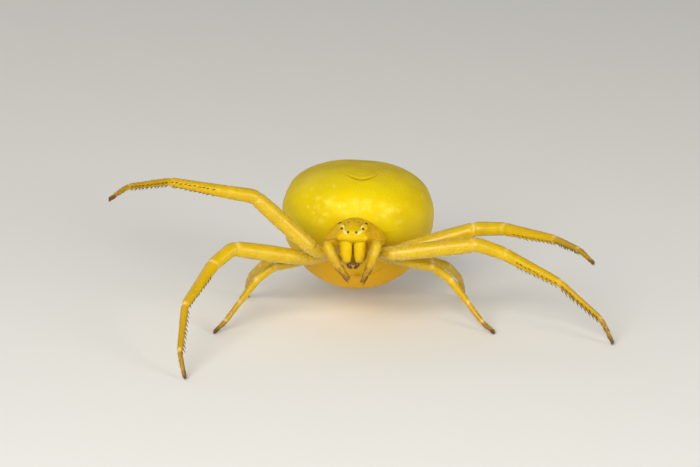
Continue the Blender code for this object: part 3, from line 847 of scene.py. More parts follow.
def paint_front_body(mesh):
    """What colours the face, the eyes' rims, the middle of the carapace, and the darker tone with painted
    shade low between the jaws.
    """
    inverse = np.array(front_body_matrix().inverted())
    local = vertex_array(mesh) @ inverse[:3, :3].T + inverse[:3, 3]
    x, y, z = local.T
    side = np.abs(x)
    face = climb(y, -0.90, -0.35) * hump((side / 0.82) ** 2, 1.0) * climb(z, 1.08, -0.20)
    middle = 0.75 * hump(side / (0.34 + 0.10 * np.clip(y + 1.0, 0, 2)), 1.0) * climb(y, -1.15, 0.5)
    set_attribute(mesh, "face_pale", np.clip(face + middle, 0, 1))
    rings = [hump(distance, radius * 1.9) for radius, distance in eye_distances(side, y, z)]
    set_attribute(mesh, "eye_ring", np.max(rings, axis=0))
    ridges = np.zeros(len(local))
    for start, end, width, strength in FACE_RIDGES:
        line = np.array(end) - start
        offset = np.stack((side, y, z), axis=-1) - start
        share = np.clip(offset @ line / (line @ line), 0, 1)
        distance = np.linalg.norm(offset - share[:, None] * line, axis=1)
        ridges = np.maximum(ridges, strength * hump(distance, width))
    set_attribute(mesh, "pale_ridge", ridges)
    # Darker brown low between the jaws: partly the parts' own darker tone, partly painted shade in the gap
    low_middle = climb(z, -0.10, -0.25) * climb(y, -0.20, -0.3)
    set_attribute(mesh, "mouth_tone_and_shade", 0.85 * hump(side, 0.42) * low_middle)


def photo_ray(px, py):
    """The direction, in the drawn frame, of the line of sight through a pixel of the photograph."""
    focal = CAMERA_LENS / SENSOR_WIDTH * PHOTO_WIDTH
    across = CAMERA_RIGHT * ((px - PHOTO_WIDTH / 2) / focal)
    down = CAMERA_UP * ((py - PHOTO_HEIGHT / 2) / focal)
    return (CAMERA_FORWARD + across - down).normalized()


# Pale mottles on the abdomen, and one painted highlight in the fold: pixel of the photograph, half width
# and half height in millimetres, strength
MOTTLES_AND_HIGHLIGHT = (
    (319, 199, 0.22, 0.16, 0.7), (328, 203, 0.30, 0.22, 0.8), (318, 208, 0.26, 0.18, 0.6),
    (333, 198, 0.16, 0.12, 0.6), (339, 206, 0.14, 0.12, 0.7), (344, 205, 0.12, 0.10, 0.8),
    (355, 203, 0.30, 0.22, 0.8), (366, 203, 0.30, 0.20, 0.8), (360, 209, 0.40, 0.18, 0.7),
    (371, 208, 0.26, 0.18, 0.6), (382, 205, 0.20, 0.16, 0.6), (390, 211, 0.34, 0.22, 0.7),
    (397, 209, 0.16, 0.20, 0.6), (385, 216, 0.40, 0.18, 0.5), (377, 219, 0.10, 0.08, 0.9),
    (308, 207, 0.10, 0.08, 0.9), (314, 213, 0.12, 0.10, 0.7), (320, 221, 0.30, 0.16, 0.5),
    (334, 186, 0.10, 0.08, 0.8), (305, 196, 0.14, 0.12, 0.4), (312, 189, 0.12, 0.10, 0.4),
    # The spot at 361, 180.2 is a painted highlight at the middle of the fold
    (381, 174, 0.14, 0.06, 0.7), (422, 196, 0.10, 0.10, 0.8), (361, 180.2, 0.16, 0.04, 0.8),
    (406, 205, 0.10, 0.10, 0.4), (399, 222, 0.30, 0.14, 0.5), (345, 213, 0.30, 0.10, 0.4),
    (326, 215, 0.24, 0.14, 0.6),
)
# How much deeper along the body each spot, the painted highlight too, reaches than it is high
MOTTLE_AND_HIGHLIGHT_DEPTH = 2.2
# A painted pool of light, brightest on the abdomen's front: pixel of the photograph, and half sizes in
# millimetres
PAINTED_LIGHT_AT = (353, 203)
PAINTED_LIGHT_SIZE = (2.1, 1.6, 1.0)
# Half width of the painted shade line in the fold
CREASE_SHADE_WIDTH = 0.075


def paint_abdomen(mesh):
    """Mottles with one painted highlight, a painted pool of light on the front, as in the photograph, and
    painted shade in the fold and the belly's furrow, with the belly's darker plate.
    """
    places = vertex_array(mesh)
    marked = vertices_of(mesh, "abdomen_cuticle")
    tree = BVHTree.FromPolygons(places.tolist(), faces_of(mesh, "abdomen_cuticle"))

    def spot(px, py, size):
        hit, _, _, _ = tree.ray_cast(CAMERA_AT, photo_ray(px, py))
        return hump(np.linalg.norm((places - np.array(hit)) / size, axis=1), 1.0)

    mottle_and_highlight = np.zeros(len(places))
    for px, py, width, height, strength in MOTTLES_AND_HIGHLIGHT:
        size = (width, height * MOTTLE_AND_HIGHLIGHT_DEPTH, height)
        mottle_and_highlight = np.maximum(mottle_and_highlight, strength * spot(px, py, size))
    set_attribute(mesh, "mottle_and_highlight", mottle_and_highlight * marked)
    # Painted light: a broad pool of light on the abdomen's front
    set_attribute(mesh, "painted_light", spot(*PAINTED_LIGHT_AT, PAINTED_LIGHT_SIZE) * marked)
    x, y, z = (places - np.array(ABDOMEN_AT)).T
    behind, fold = fold_share(x, y)
    furrow, plate = belly_marks(x, y, z)
    # Painted shade: a dark line in the fold and a fainter one in the belly's furrow; the plate keeps its
    # own darker colour
    crease_shade = hump(behind, CREASE_SHADE_WIDTH) * fold * (z > 1.0)
    set_attribute(mesh, "crease_shade", np.maximum(crease_shade, np.maximum(0.5 * furrow, plate)) * marked)


def srgb(red, green, blue):
    """A colour seen as 0 to 255 sRGB, as the shader's own linear numbers."""
    def linear(value):
        value /= 255
        return value / 12.92 if value <= 0.04045 else ((value + 0.055) / 1.055) ** 2.4
    return (linear(red), linear(green), linear(blue), 1.0)


# Tint of the gloss on waxy yellow cuticle, and how far red, green and blue light go in the flesh under it
WARM_GLOSS = (1.0, 0.84, 0.20, 1.0)
YELLOW_FLESH = (1.0, 0.6, 0.12)


class Shade:
    """A material under construction. Most methods add nodes and return their output."""

    def __init__(self, name):
        self.material = bpy.data.materials.new(name)
        self.material.use_nodes = True
        self.tree = self.material.node_tree
        self.shader = self.tree.nodes["Principled BSDF"]

    def feed(self, socket, value):
        if isinstance(value, bpy.types.NodeSocket):
            self.tree.links.new(value, socket)
        else:
            socket.default_value = value

    def node(self, kind, inputs=(), output=0, **settings):
        node = self.tree.nodes.new(kind)
        for key, value in settings.items():
            setattr(node, key, value)
        for key, value in dict(inputs).items():
            self.feed(node.inputs[key], value)
        return node.outputs[output]

    def place(self):
        return self.node("ShaderNodeTexCoord", output="Object")

    def level(self):
        return self.node("ShaderNodeSeparateXYZ", {0: self.place()}, "Z")

    def noise(self, size, detail=3.0):
        """Noise whose lumps are about size millimetres across."""
        return self.node("ShaderNodeTexNoise", {
            "Vector": self.place(), "Scale": 1 / (size * MM), "Detail": detail, "Roughness": 0.55,
        }, "Fac")

    def cells(self, size):
        """How far places are from the middle of their cell, for cells about size millimetres across."""
        return self.node("ShaderNodeTexVoronoi", {
            "Vector": self.place(), "Scale": 1 / (size * MM),
        }, "Distance")

    def attribute(self, name):
        return self.node("ShaderNodeAttribute", (), "Fac", attribute_name=name)

    def ramp(self, value, low, high, to_low=0.0, to_high=1.0):
        return self.node("ShaderNodeMapRange", {
            "Value": value, "From Min": low, "From Max": high, "To Min": to_low, "To Max": to_high,
        })

    def times(self, first, second):
        return self.node("ShaderNodeMath", {0: first, 1: second}, operation="MULTIPLY")

    def more_of(self, first, second):
        return self.node("ShaderNodeMath", {0: first, 1: second}, operation="MAXIMUM")

    def colour(self, value, dark, light, *layers, low=0.35, high=0.65):
        """Two colours mixed by a value from low to high, with layers of (share, colour) over them."""
        base = self.mix(self.ramp(value, low, high), dark, light)
        for share, over in layers:
            base = self.mix(share, base, over)
        return base

    def mix(self, share, first, second):
        return self.node("ShaderNodeMix", {0: share, 6: first, 7: second}, 2, data_type="RGBA")

    def bump(self, *layers, under=None):
        """Relief in layers of (height, distance in millimetres, strength), over another one."""
        for height, distance, strength in layers:
            inputs = {"Height": height, "Distance": distance * MM, "Strength": strength}
            if under is not None:
                inputs["Normal"] = under
            under = self.node("ShaderNodeBump", inputs)
        return under

    def set(self, **values):
        for key, value in values.items():
            self.feed(self.shader.inputs[key.replace("_", " ")], value)
        return self

    def flesh(self, weight, radius, scale):
        """Light that scatters under the shell, with the scale in millimetres."""
        return self.set(
            Subsurface_Weight=weight, Subsurface_Radius=radius, Subsurface_Scale=scale * MM,
            Specular_IOR_Level=0.32, Specular_Tint=WARM_GLOSS,
        )


def abdomen_material():
    shade = Shade("abdomen_cuticle")
    back = shade.ramp(shade.level(), 5.6 * MM, 6.6 * MM)
    speckle = shade.ramp(shade.cells(0.16), 0.10, 0.42, 1.0, 0.0)
    patches = shade.ramp(shade.noise(0.75, 2.0), 0.52, 0.68)
    scattered = shade.times(shade.times(shade.times(speckle, patches), back), 0.22)
    near = shade.times(shade.attribute("mottle_and_highlight"), shade.ramp(shade.noise(0.30), 0.34, 0.56))
    base = shade.colour(
        shade.noise(1.6), srgb(206, 177, 0), srgb(216, 190, 2),
        # Lower abdomen more orange: partly its own browner belly, partly painted warm light reflected from
        # below
        (shade.ramp(shade.level(), 5.2 * MM, 2.4 * MM), srgb(220, 170, 0)),
        # Painted light on the abdomen's front
        (shade.attribute("painted_light"), srgb(222, 198, 2)),
        # Pale speckles and mottles, and among them one painted highlight in the fold
        (shade.more_of(scattered, near), srgb(230, 212, 70)),
        # Painted shade in the fold and the belly's furrow, and the belly's own darker plate
        (shade.times(shade.attribute("crease_shade"), 0.8), srgb(150, 116, 0)),
    )
    lumps = shade.noise(0.35)
    shade.set(
        Base_Color=base, Roughness=shade.ramp(lumps, 0.3, 0.7, 0.42, 0.56),
        Normal=shade.bump((lumps, 0.02, 0.5), (shade.noise(0.05, 2.0), 0.006, 0.5)),
        Coat_Weight=0.04, Coat_Roughness=0.28,
    )
    return shade.flesh(0.30, (1.0, 0.65, 0.10), 0.45).material


def carapace_material():
    shade = Shade("carapace_cuticle")
    base = shade.colour(
        shade.noise(0.30), srgb(213, 163, 0), srgb(226, 178, 2),
        (shade.attribute("face_pale"), srgb(206, 172, 2)),
        (shade.times(shade.attribute("eye_ring"), 0.15), srgb(214, 178, 16)),
        (shade.attribute("pale_ridge"), srgb(246, 234, 180)),
        # Darker brown between the jaws, partly painted shade in the gap
        (shade.attribute("mouth_tone_and_shade"), srgb(96, 62, 10)),
        high=0.70,
    )
    fine = shade.noise(0.04, 2.0)
    shade.set(
        Base_Color=base, Roughness=shade.ramp(fine, 0.3, 0.7, 0.36, 0.48),
        Normal=shade.bump((shade.noise(0.16), 0.012, 0.5), (fine, 0.004, 0.5)),
        Coat_Weight=0.04, Coat_Roughness=0.25,
    )
    return shade.flesh(0.25, YELLOW_FLESH, 0.25).material


def leg_material():
    shade = Shade("leg_cuticle")
    along = shade.attribute("limb_along")
    # The top side, where the joints' painted highlight is strongest
    top = shade.ramp(shade.attribute("limb_top"), -0.2, 0.8, 0.15, 1.0)
    base = shade.colour(
        shade.noise(0.5), srgb(196, 160, 0), srgb(206, 172, 2),
        (shade.ramp(along, 0.50, 0.70), srgb(194, 154, 2)),
        (shade.ramp(along, 0.70, 0.84), srgb(182, 143, 2)),
        (shade.ramp(along, 0.95, 1.0), srgb(116, 78, 14)),
        # Pale joint membranes with a painted highlight, strongest on the top side
        (shade.times(shade.attribute("limb_joint_and_highlight"), top), srgb(236, 200, 112)),
    )
    fine = shade.noise(0.035)
    normal = shade.bump((shade.noise(0.12), 0.010, 0.6), (fine, 0.004, 0.6))
    shade.set(
        Base_Color=base, Roughness=shade.ramp(fine, 0.3, 0.7, 0.32, 0.46), Normal=normal,
        Coat_Weight=shade.ramp(along, 0.30, 0.46, 0.72, 0.38), Coat_Roughness=0.24,
        Coat_Normal=shade.bump((shade.noise(0.09, 2.0), 0.022, 1.0), under=normal),
    )
    return shade.flesh(0.30, YELLOW_FLESH, 0.20).material


def jaw_material():
    shade = Shade("jaw_cuticle")
    tip = shade.ramp(shade.level(), 4.42 * MM, 4.14 * MM)
    base = shade.colour(
        shade.noise(0.25), srgb(212, 174, 2), srgb(220, 186, 6),
        (shade.times(tip, 0.8), srgb(186, 126, 60)),
    )
    shade.set(
        Base_Color=base, Roughness=shade.ramp(shade.noise(0.04), 0.3, 0.7, 0.34, 0.46),
        Normal=shade.bump((shade.noise(0.10), 0.008, 0.5)), Coat_Weight=0.06, Coat_Roughness=0.28,
    )
    return shade.flesh(0.28, YELLOW_FLESH, 0.20).material


def spinneret_material():
    shade = Shade("spinneret_cuticle")
    base = shade.colour(shade.noise(0.2), srgb(176, 124, 4), srgb(204, 158, 8), low=0.3, high=0.7)
    shade.set(Base_Color=base, Roughness=0.45, Normal=shade.bump((shade.noise(0.05), 0.008, 0.6)))
    return shade.flesh(0.2, YELLOW_FLESH, 0.2).material


def horn_material():
    shade = Shade("polished_horn")
    base = shade.colour(shade.noise(0.08), srgb(58, 26, 14), srgb(104, 52, 24), low=0.3, high=0.7)
    shade.set(Base_Color=base, Roughness=shade.ramp(shade.noise(0.03), 0.3, 0.7, 0.18, 0.30))
    return shade.set(Coat_Weight=0.4, Coat_Roughness=0.1).material


def eye_material():
    shade = Shade("wet_lens")
    base = shade.colour(shade.noise(0.06), srgb(26, 12, 8), srgb(52, 26, 14))
    shade.set(Base_Color=base, Roughness=shade.ramp(shade.noise(0.02), 0.3, 0.7, 0.05, 0.10))
    return shade.set(Coat_Weight=1.0, Coat_Roughness=0.03).material


def hair_material(name, dark, light):
    shade = Shade(name)
    shade.set(Base_Color=shade.colour(shade.noise(0.10), dark, light, low=0.3, high=0.7), Roughness=0.38)
    return shade.flesh(0.1, (1.0, 0.7, 0.3), 0.05).material


def make_materials():
    made = (
        abdomen_material(), carapace_material(), leg_material(), jaw_material(),
        spinneret_material(), horn_material(), eye_material(),
        hair_material("pale_hair", srgb(236, 204, 84), srgb(252, 238, 186)),
        hair_material("dark_spine", srgb(62, 36, 14), srgb(118, 76, 26)),
        hair_material("brown_bristle", srgb(110, 66, 44), srgb(150, 100, 70)),
    )
    return {material.name: material for material in made}


# How much of each eye's ball shows as its lens
LENS_SHARE = {"front_middle": 0.84, "front_side": 0.66, "back_middle": 0.58, "back_side": 1.12}


def make_eyes(materials):
    """Each eye is a polished lens on the ball that the solids give it."""
    for eye_name, ((x, y, z), radius) in EYES.items():
        for side_name, side in SIDES.items():
            name = f"{eye_name}_{side_name}"
            eye = ball(f"lens_{name}", (side * x, y, z), [radius * LENS_SHARE[eye_name]] * 3, 40, 28)
            eye.data.transform(front_body_matrix())
            dress(eye, materials["wet_lens"])
            settle(eye, "eye_lens", f"eye_{name}")


def make_fangs(materials):
    for side_name, side in SIDES.items():
        points, radii = smooth_path(mirrored(FANG_LINE, side), FANG_RADII, 32)
        fang = tube_object(f"horn_{side_name}", points, radii, 20)
        dress(fang, materials["polished_horn"])
        settle(fang, "fang_horn", f"fang_{side_name}")


# Spikes: how many sides, each ring's share of the length and of the root's radius, the width of a
# spike's patch on the unwrap, and what keeps the line that its sides are squared by off its own line
SPIKE_SIDES = 3
SPIKE_RINGS = ((0.0, 1.0), (0.45, 0.8), (0.8, 0.42))
PATCH = 0.003
OFF_AXIS = (0.13, 0.29, 0.41)


class Spikes:
    """Tapered, bent spikes, gathered in batches and then made as one mesh."""

    def __init__(self, name, material, slot):
        self.name, self.material, self.slot = name, material, slot
        self.batches = []

    def add(self, roots, ways, bends, lengths, radii, patches):
        """Roots, directions there, the way each tip leans, lengths, root radii and places on the unwrap."""
        count = len(roots)
        self.batches.append((
            np.asarray(roots), rows_unit(np.asarray(ways)), np.asarray(bends),
            np.broadcast_to(lengths, count), np.broadcast_to(radii, count), np.asarray(patches),
        ))

    def make(self):
        roots, ways, bends, lengths, radii, patches = map(np.concatenate, zip(*self.batches))
        across = rows_unit(np.cross(ways, ways[:, [1, 2, 0]] + OFF_AXIS))
        up = np.cross(ways, across)
        loops = []
        for share, width in SPIKE_RINGS:
            centre = roots + (ways * share + bends * share**2) * lengths[:, None]
            reach = (radii * width)[:, None]
            for k in range(SPIKE_SIDES):
                turn = math.tau * k / SPIKE_SIDES
                loops.append(centre + (across * math.cos(turn) + up * math.sin(turn)) * reach)
        loops.append(roots + (ways + bends) * lengths[:, None])
        per, sides = len(loops), SPIKE_SIDES
        points = np.stack(loops, axis=1).reshape(-1, 3)
        pattern = [tuple(range(sides))[::-1]]
        for ring in range(0, per - 1 - sides, sides):
            for k in range(sides):
                a, b = ring + k, ring + (k + 1) % sides
                pattern.append((a, b, b + sides, a + sides))
        last = per - 1 - sides
        pattern += [(last + k, last + (k + 1) % sides, per - 1) for k in range(sides)]
        faces = [
            [start + corner for corner in face]
            for start in range(0, len(points), per) for face in pattern
        ]
        obj = mesh_object(self.name, points, faces)
        corner_vertex = np.empty(len(obj.data.loops), dtype=np.int32)
        obj.data.loops.foreach_get("vertex_index", corner_vertex)
        spike, corner = corner_vertex // per, corner_vertex % per
        height = np.minimum(corner // sides, len(SPIKE_RINGS)) / len(SPIKE_RINGS)
        places = patches[spike] + PATCH * np.stack(((corner % sides) / sides, height), axis=-1)
        obj.data.uv_layers.new(name="OFBake").data.foreach_set("uv", places.astype(np.float32).ravel())
        dress(obj, self.material)
        settle(obj, self.slot)


# The unwrap: flat bands, one for each limb, then one for the abdomen and one for the front body,
# and the length along the body that a band holds
UNWRAP_BANDS = 12
ABDOMEN_BAND = 10
FRONT_BODY_BAND = 11
BODY_SPAN = 10.0
# How deep the roots of hairs and bristles are set
ROOT_DEPTH = 0.012


def limb_patches(number, limb, index, angle):
    """Where rings and angles of a limb lie on the unwrap: one flat band for each limb."""
    along = limb["at"][index] / limb["at"][-1]
    around = (np.asarray(angle) / math.tau) % 1.0
    return np.stack((0.02 + 0.95 * along, (number + 0.05 + 0.85 * around) / UNWRAP_BANDS), axis=-1)


def lying(ways, normals, stand):
    """Directions that follow ways along a surface and stand up from it by a share."""
    flat = rows_unit(ways - normals * np.sum(ways * normals, axis=-1, keepdims=True))
    return flat + normals * np.asarray(stand)[:, None]


def scatter(mesh, material_name, count, random):
    """Random places on the faces with a material, spread evenly by area, with the normals there."""
    mesh.calc_loop_triangles()
    triangles = np.empty(len(mesh.loop_triangles) * 3, dtype=np.int32)
    mesh.loop_triangles.foreach_get("vertices", triangles)
    owner = np.empty(len(mesh.loop_triangles), dtype=np.int32)
    mesh.loop_triangles.foreach_get("material_index", owner)
    triangles = triangles.reshape(-1, 3)[np.isin(owner, slots_of(mesh, material_name))]
    places, normals = vertex_array(mesh), vertex_array(mesh, "normal")
    a, b, c = (places[triangles[:, k]] for k in range(3))
    area = np.linalg.norm(np.cross(b - a, c - a), axis=1)
    pick = triangles[random.choice(len(triangles), count, p=area / area.sum())]
    low, high = np.sort(random.uniform(0, 1, (2, count)), axis=0)
    weights = np.stack((low, high - low, 1 - high), axis=1)[:, :, None]
    return (places[pick] * weights).sum(axis=1), rows_unit((normals[pick] * weights).sum(axis=1))


def body_patches(places, middle, band):
    """Where places on the body lie on the unwrap: by their turn round its long axis and place along it."""
    offset = places - np.array(middle)
    around = np.arctan2(offset[:, 2], offset[:, 0]) / math.tau % 1.0
    along = np.clip(0.5 + offset[:, 1] / BODY_SPAN, 0, 1)
    return np.stack((0.02 + 0.95 * around, (band + 0.05 + 0.85 * along) / UNWRAP_BANDS), axis=-1)


def clear_of_eyes(roots):
    """Which places on the head keep clear of the eyes."""
    clear = np.ones(len(roots), dtype=bool)
    for place, radius in EYES.values():
        for side in (-1, 1):
            eye = np.array(front_body_matrix() @ Vector((side * place[0], place[1], place[2])))
            clear &= np.linalg.norm(roots - eye, axis=1) > radius + 0.05
    return clear


# Hairs of the body: material, how many, the way they lie, and the middle and band of their unwrap
BODY_HAIRS = (
    ("abdomen_cuticle", 2600, (0.0, 1.0, -0.15), ABDOMEN_AT, ABDOMEN_BAND),
    ("carapace_cuticle", 420, (0.0, -1.0, 0.1), FRONT_BODY_AT, FRONT_BODY_BAND),
    ("jaw_cuticle", 160, (0.0, -0.2, -1.0), FRONT_BODY_AT, FRONT_BODY_BAND),
    ("spinneret_cuticle", 160, (0.0, 1.0, -0.1), ABDOMEN_AT, ABDOMEN_BAND),
)


def grow_body_hairs(mesh, hairs, random):
    """Very short pale hairs that lie back on the abdomen, forward on the carapace and down on the jaws."""
    for material_name, count, way, middle, band in BODY_HAIRS:
        roots, normals = scatter(mesh, material_name, count, random)
        clear = clear_of_eyes(roots)
        roots, normals = roots[clear], normals[clear]
        ways = lying(np.array(way), normals, random.uniform(0.5, 1.1, len(roots)))
        hairs.add(
            roots - normals * ROOT_DEPTH, ways, -normals * 0.12, random.uniform(0.06, 0.11, len(roots)),
            random.uniform(0.0035, 0.005, len(roots)), body_patches(roots, middle, band),
        )


def grow_hairs(limbs, hairs, random):
    """Short hairs that lie towards the foot, densest on the front thighs and at the hips."""
    for number, limb in enumerate(limbs):
        front = limb["name"].endswith("_1")
        # First and last place in segments, how many a millimetre, shortest, longest and thickest
        for first, last, per_mm, shortest, longest, thickest in (
            (0.45, limb["last"] - 0.05, 55, 0.08, 0.15, 0.006),
            (0.30, 1.20, 170, 0.09, 0.16, 0.012),
            (1.1, 1.97 if front else 1.3, 110, 0.06, 0.12, 0.010),
        ):
            low, high = np.searchsorted(limb["shares"], (first, last))
            count = int((limb["at"][high] - limb["at"][low]) * per_mm)
            index = random.integers(low, high, count)
            angle = random.uniform(0, math.tau, count)
            roots, normals = limb_surface(limb, index, angle, -ROOT_DEPTH)
            ways = lying(limb["tangents"][index], normals, random.uniform(0.35, 0.8, count))
            hairs.add(
                roots, ways, -normals * 0.12, random.uniform(shortest, longest, count),
                random.uniform(0.65, 1.0, count) * thickest, limb_patches(number, limb, index, angle),
            )


# Rows of spines under a long leg: first and last place in segments, step, length and root radius
SPINE_ROWS = ((3.25, 3.92, 0.25, 0.22, 0.034), (4.06, 4.97, 0.27, 0.30, 0.040))


def grow_spines(limbs, spines, random):
    """Two rows of dark spines under the shin and metatarsus of the long legs."""
    for number, limb in enumerate(limbs):
        if not limb["name"].endswith(("_1", "_2")):
            continue
        for start, end, step, length, radius in SPINE_ROWS:
            low, high = np.interp((start, end), limb["shares"], limb["at"])
            stations = np.arange(low, high, step)
            for row in (-1, 1):
                at = stations + random.uniform(-0.03, 0.03, len(stations)) + (0.10 if row > 0 else 0.0)
                index = np.clip(np.searchsorted(limb["at"], at), 1, len(limb["at"]) - 2)
                angle = row * random.uniform(0.60, 0.80, len(at))
                roots, normals = limb_surface(limb, index, angle, -0.03)
                under = limb["under"][index]
                ways = limb["tangents"][index] * 0.90 + normals * 0.22 + under * 0.44
                spines.add(
                    roots, ways, limb["tangents"][index] * 0.15,
                    length * random.uniform(0.85, 1.1, len(at)), radius,
                    limb_patches(number, limb, index, angle),
                )


def grow_foot_tufts(limbs, bristles, random):
    """Brown bristles all round the tarsus, longest under its tip and on the palps."""
    for number, limb in enumerate(limbs):
        is_palp = limb["name"].startswith("palp")
        long_foot = limb["name"].endswith(("_1", "_2"))
        # How many, how far back from the tip in segments, spread round the limb, and longest
        for count, reach, spread, longest in (
            (260, 0.95, 1.8, 0.13), (90, 0.35, 0.9, 0.17), (240 if long_foot else 60, 1.9, 1.8, 0.11),
        ):
            low, high = np.searchsorted(limb["shares"], (limb["last"] - reach, limb["last"] - 0.03))
            index = random.integers(low, high, count)
            angle = random.normal(0.0, spread, count)
            roots, normals = limb_surface(limb, index, angle, -ROOT_DEPTH)
            ways = lying(limb["tangents"][index], normals, random.uniform(0.2, 0.6, count))
            lengths = random.uniform(0.6, 1.0, count) * (longest * 1.25 if is_palp else longest)
            bristles.add(
                roots, ways, limb["tangents"][index] * 0.1, lengths, 0.009,
                limb_patches(number, limb, index, angle),
            )


# Bristles of the head's back: the left one's place across and along in the front body's frame, and length
HEAD_BRISTLES = (
    (0.0, -1.38, 0.13), (0.12, -1.22, 0.15), (0.40, -1.20, 0.13), (0.0, -0.85, 0.17), (0.0, -0.45, 0.16),
    (0.45, -0.85, 0.15), (0.62, -0.55, 0.15), (0.28, -0.10, 0.15), (0.85, -0.65, 0.14), (0.90, -0.10, 0.14),
)
# Bristles along the lower edge of the face: place across and length
FACE_BRISTLES = ((0.08, 0.22), (0.22, 0.20), (0.37, 0.20), (0.52, 0.17))
FACE_BRISTLE_LEVEL = 0.20
# The jaws carry bristles below this level
JAW_TIP_LEVEL = 4.34


def grow_head_bristles(mesh, bristles, random):
    """Single brown bristles on the head's back, a row on the face's edge, and tufts at the jaw tips."""
    faces = [tuple(face.vertices) for face in mesh.polygons]
    tree = BVHTree.FromPolygons(vertex_array(mesh).tolist(), faces)
    matrix = front_body_matrix()
    turn = matrix.to_3x3()
    roots, ways, lengths = [], [], []
    for side in (-1, 1):
        for x, y, length in HEAD_BRISTLES:
            on_middle_line = x == 0.0
            if on_middle_line and side > 0:
                continue
            start = matrix @ Vector((side * x, y, 2.0))
            hit, normal, _, _ = tree.ray_cast(start, turn @ Vector((0, 0, -1)))
            roots.append(hit - normal * 0.02)
            ways.append(normal + turn @ Vector((0, -0.7, 0)))
            lengths.append(length)
        for x, length in FACE_BRISTLES:
            start = matrix @ Vector((side * x, -3.0, FACE_BRISTLE_LEVEL))
            hit, normal, _, _ = tree.ray_cast(start, turn @ Vector((0, 1, 0)))
            roots.append(hit - normal * 0.02)
            ways.append(normal * 0.6 + turn @ Vector((side * 0.05, -0.3, -0.7)))
            lengths.append(length)
    roots = np.array(roots)
    bristles.add(
        roots, np.array(ways), np.tile((0.0, 0.0, 0.12), (len(roots), 1)), np.array(lengths), 0.009,
        body_patches(roots, FRONT_BODY_AT, FRONT_BODY_BAND),
    )
    roots, normals = scatter(mesh, "jaw_cuticle", 900, random)
    low = roots[:, 2] < JAW_TIP_LEVEL
    roots, normals = roots[low], normals[low]
    ways = lying(np.array((0.0, -0.1, -1.0)), normals, random.uniform(0.1, 0.5, len(roots)))
    bristles.add(
        roots - normals * ROOT_DEPTH, ways, -normals * 0.2, random.uniform(0.10, 0.20, len(roots)), 0.0075,
        body_patches(roots, FRONT_BODY_AT, FRONT_BODY_BAND),
    )


# Claws: how far they reach on and curl under, half their gap and how much it widens, and root radius
CLAW_REACH = 0.15
CLAW_CURL = 0.09
CLAW_GAP = 0.035
CLAW_SPREAD = 0.03
CLAW_RADIUS = 0.026


def make_claws(limbs, materials):
    """Two curved claws at the end of each leg, joined into one piece a leg."""
    turn = np.linspace(0, 1, 14)[:, None]
    radii = CLAW_RADIUS * (1 - 0.92 * turn[:, 0] ** 1.3)
    for limb in limbs[:len(LEGS)]:
        along, under, across = limb["tangents"][-1], limb["under"][-1], limb["side"][-1]
        claws = []
        for side in (-1, 1):
            line = (
                limb["points"][-1] - along * 0.05
                + along * CLAW_REACH * np.sin(turn * 1.5)
                + under * CLAW_CURL * (1 - np.cos(turn * 1.7))
                + across * side * (CLAW_GAP + CLAW_SPREAD * turn)
            )
            claws.append(tube_object(f"claws_{limb['name'][4:]}", line, radii, 12))
        claw, other = claws
        with edited(claw.data) as bm:
            bm.from_mesh(other.data)
        bpy.data.objects.remove(other)
        dress(claw, materials["polished_horn"])
        settle(claw, "fang_horn")


FLESH_NODES = ["front_body", "abdomen", "spinnerets", "jaw_right", "jaw_left", "palp_right", "palp_left"]
FLESH_NODES += [f"leg_{name}_{part}" for name in LEGS for part in ("thigh", "shin", "foot")]


def make_stage():
    """A pale floor, large enough to fill the view."""
    mesh = bpy.data.meshes.new("floor")
    with edited(mesh) as bm:
        bmesh.ops.create_grid(bm, x_segments=1, y_segments=1, size=1.2)
    floor = add_object("floor", mesh)
    shade = Shade("floor_paper")
    shade.set(Base_Color=srgb(246, 245, 241), Roughness=0.75)
    floor.data.materials.append(shade.material)


def add_aimed(name, data, place, target):
    """A camera or lamp at a place in millimetres, turned to its target."""
    obj = add_object(name, data)
    obj.location = TO_METRES @ Vector(place)
    way = TO_METRES @ Vector(target) - obj.location
    obj.rotation_euler = way.to_track_quat("-Z", "Y").to_euler()
    return obj


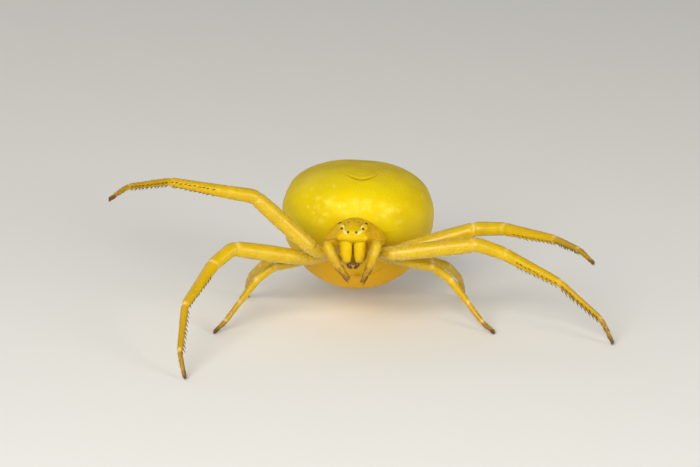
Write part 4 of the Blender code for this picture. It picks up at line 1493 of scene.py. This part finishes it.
def make_camera():
    data = bpy.data.cameras.new("camera")
    data.lens = CAMERA_LENS
    data.sensor_width = SENSOR_WIDTH
    data.clip_start = 0.005
    data.clip_end = 10.0
    bpy.context.scene.camera = add_aimed("camera", data, CAMERA_AT, CAMERA_TARGET)


# Lights: place in millimetres from the spider's middle, width of the lamp, power in watts, colour
LIGHTS = {
    "key": ((-60.0, -184.0, 118.0), 140.0, 0.46, (1.0, 0.98, 0.94)),
    "fill": ((150.0, -160.0, 72.0), 90.0, 0.19, (1.0, 0.98, 0.95)),
    "back": ((-120.0, 160.0, 150.0), 160.0, 0.05, (1.0, 0.98, 0.95)),
}
LIGHT_TARGET = (0.0, 2.0, 5.0)
STUDIO_COLOUR = (1.0, 0.985, 0.95, 1.0)
STUDIO_STRENGTH = 0.25


def make_lights():
    for name, (place, width, power, colour) in LIGHTS.items():
        data = bpy.data.lights.new(name, "AREA")
        data.shape = "DISK"
        data.size = width * MM
        data.energy = power
        data.color = colour
        add_aimed(name, data, place, LIGHT_TARGET)
    world = bpy.data.worlds.new("studio")
    bpy.context.scene.world = world
    world.use_nodes = True
    sky = world.node_tree.nodes["Background"]
    sky.inputs["Color"].default_value = STUDIO_COLOUR
    sky.inputs["Strength"].default_value = STUDIO_STRENGTH


def main():
    random = np.random.default_rng(7)
    materials = make_materials()
    limbs = make_limbs()
    skin = make_skin(limbs, materials)
    body_hairs = Spikes("body_hairs", materials["pale_hair"], "abdomen_skin")
    grow_body_hairs(skin.data, body_hairs, random)
    bristles = Spikes("brown_bristles", materials["brown_bristle"], "leg_shell")
    grow_head_bristles(skin.data, bristles, random)
    settle(skin, "abdomen_skin", *FLESH_NODES)
    make_eyes(materials)
    make_fangs(materials)
    make_claws(limbs, materials)
    limb_hairs = Spikes("limb_hairs", materials["pale_hair"], "leg_shell")
    grow_hairs(limbs, limb_hairs, random)
    spines = Spikes("leg_spines", materials["dark_spine"], "leg_shell")
    grow_spines(limbs, spines, random)
    grow_foot_tufts(limbs, bristles, random)
    for coat in (body_hairs, limb_hairs, spines, bristles):
        coat.make()
    make_stage()
    make_camera()
    make_lights()
    bpy.context.scene.view_settings.view_transform = "Standard"


main()
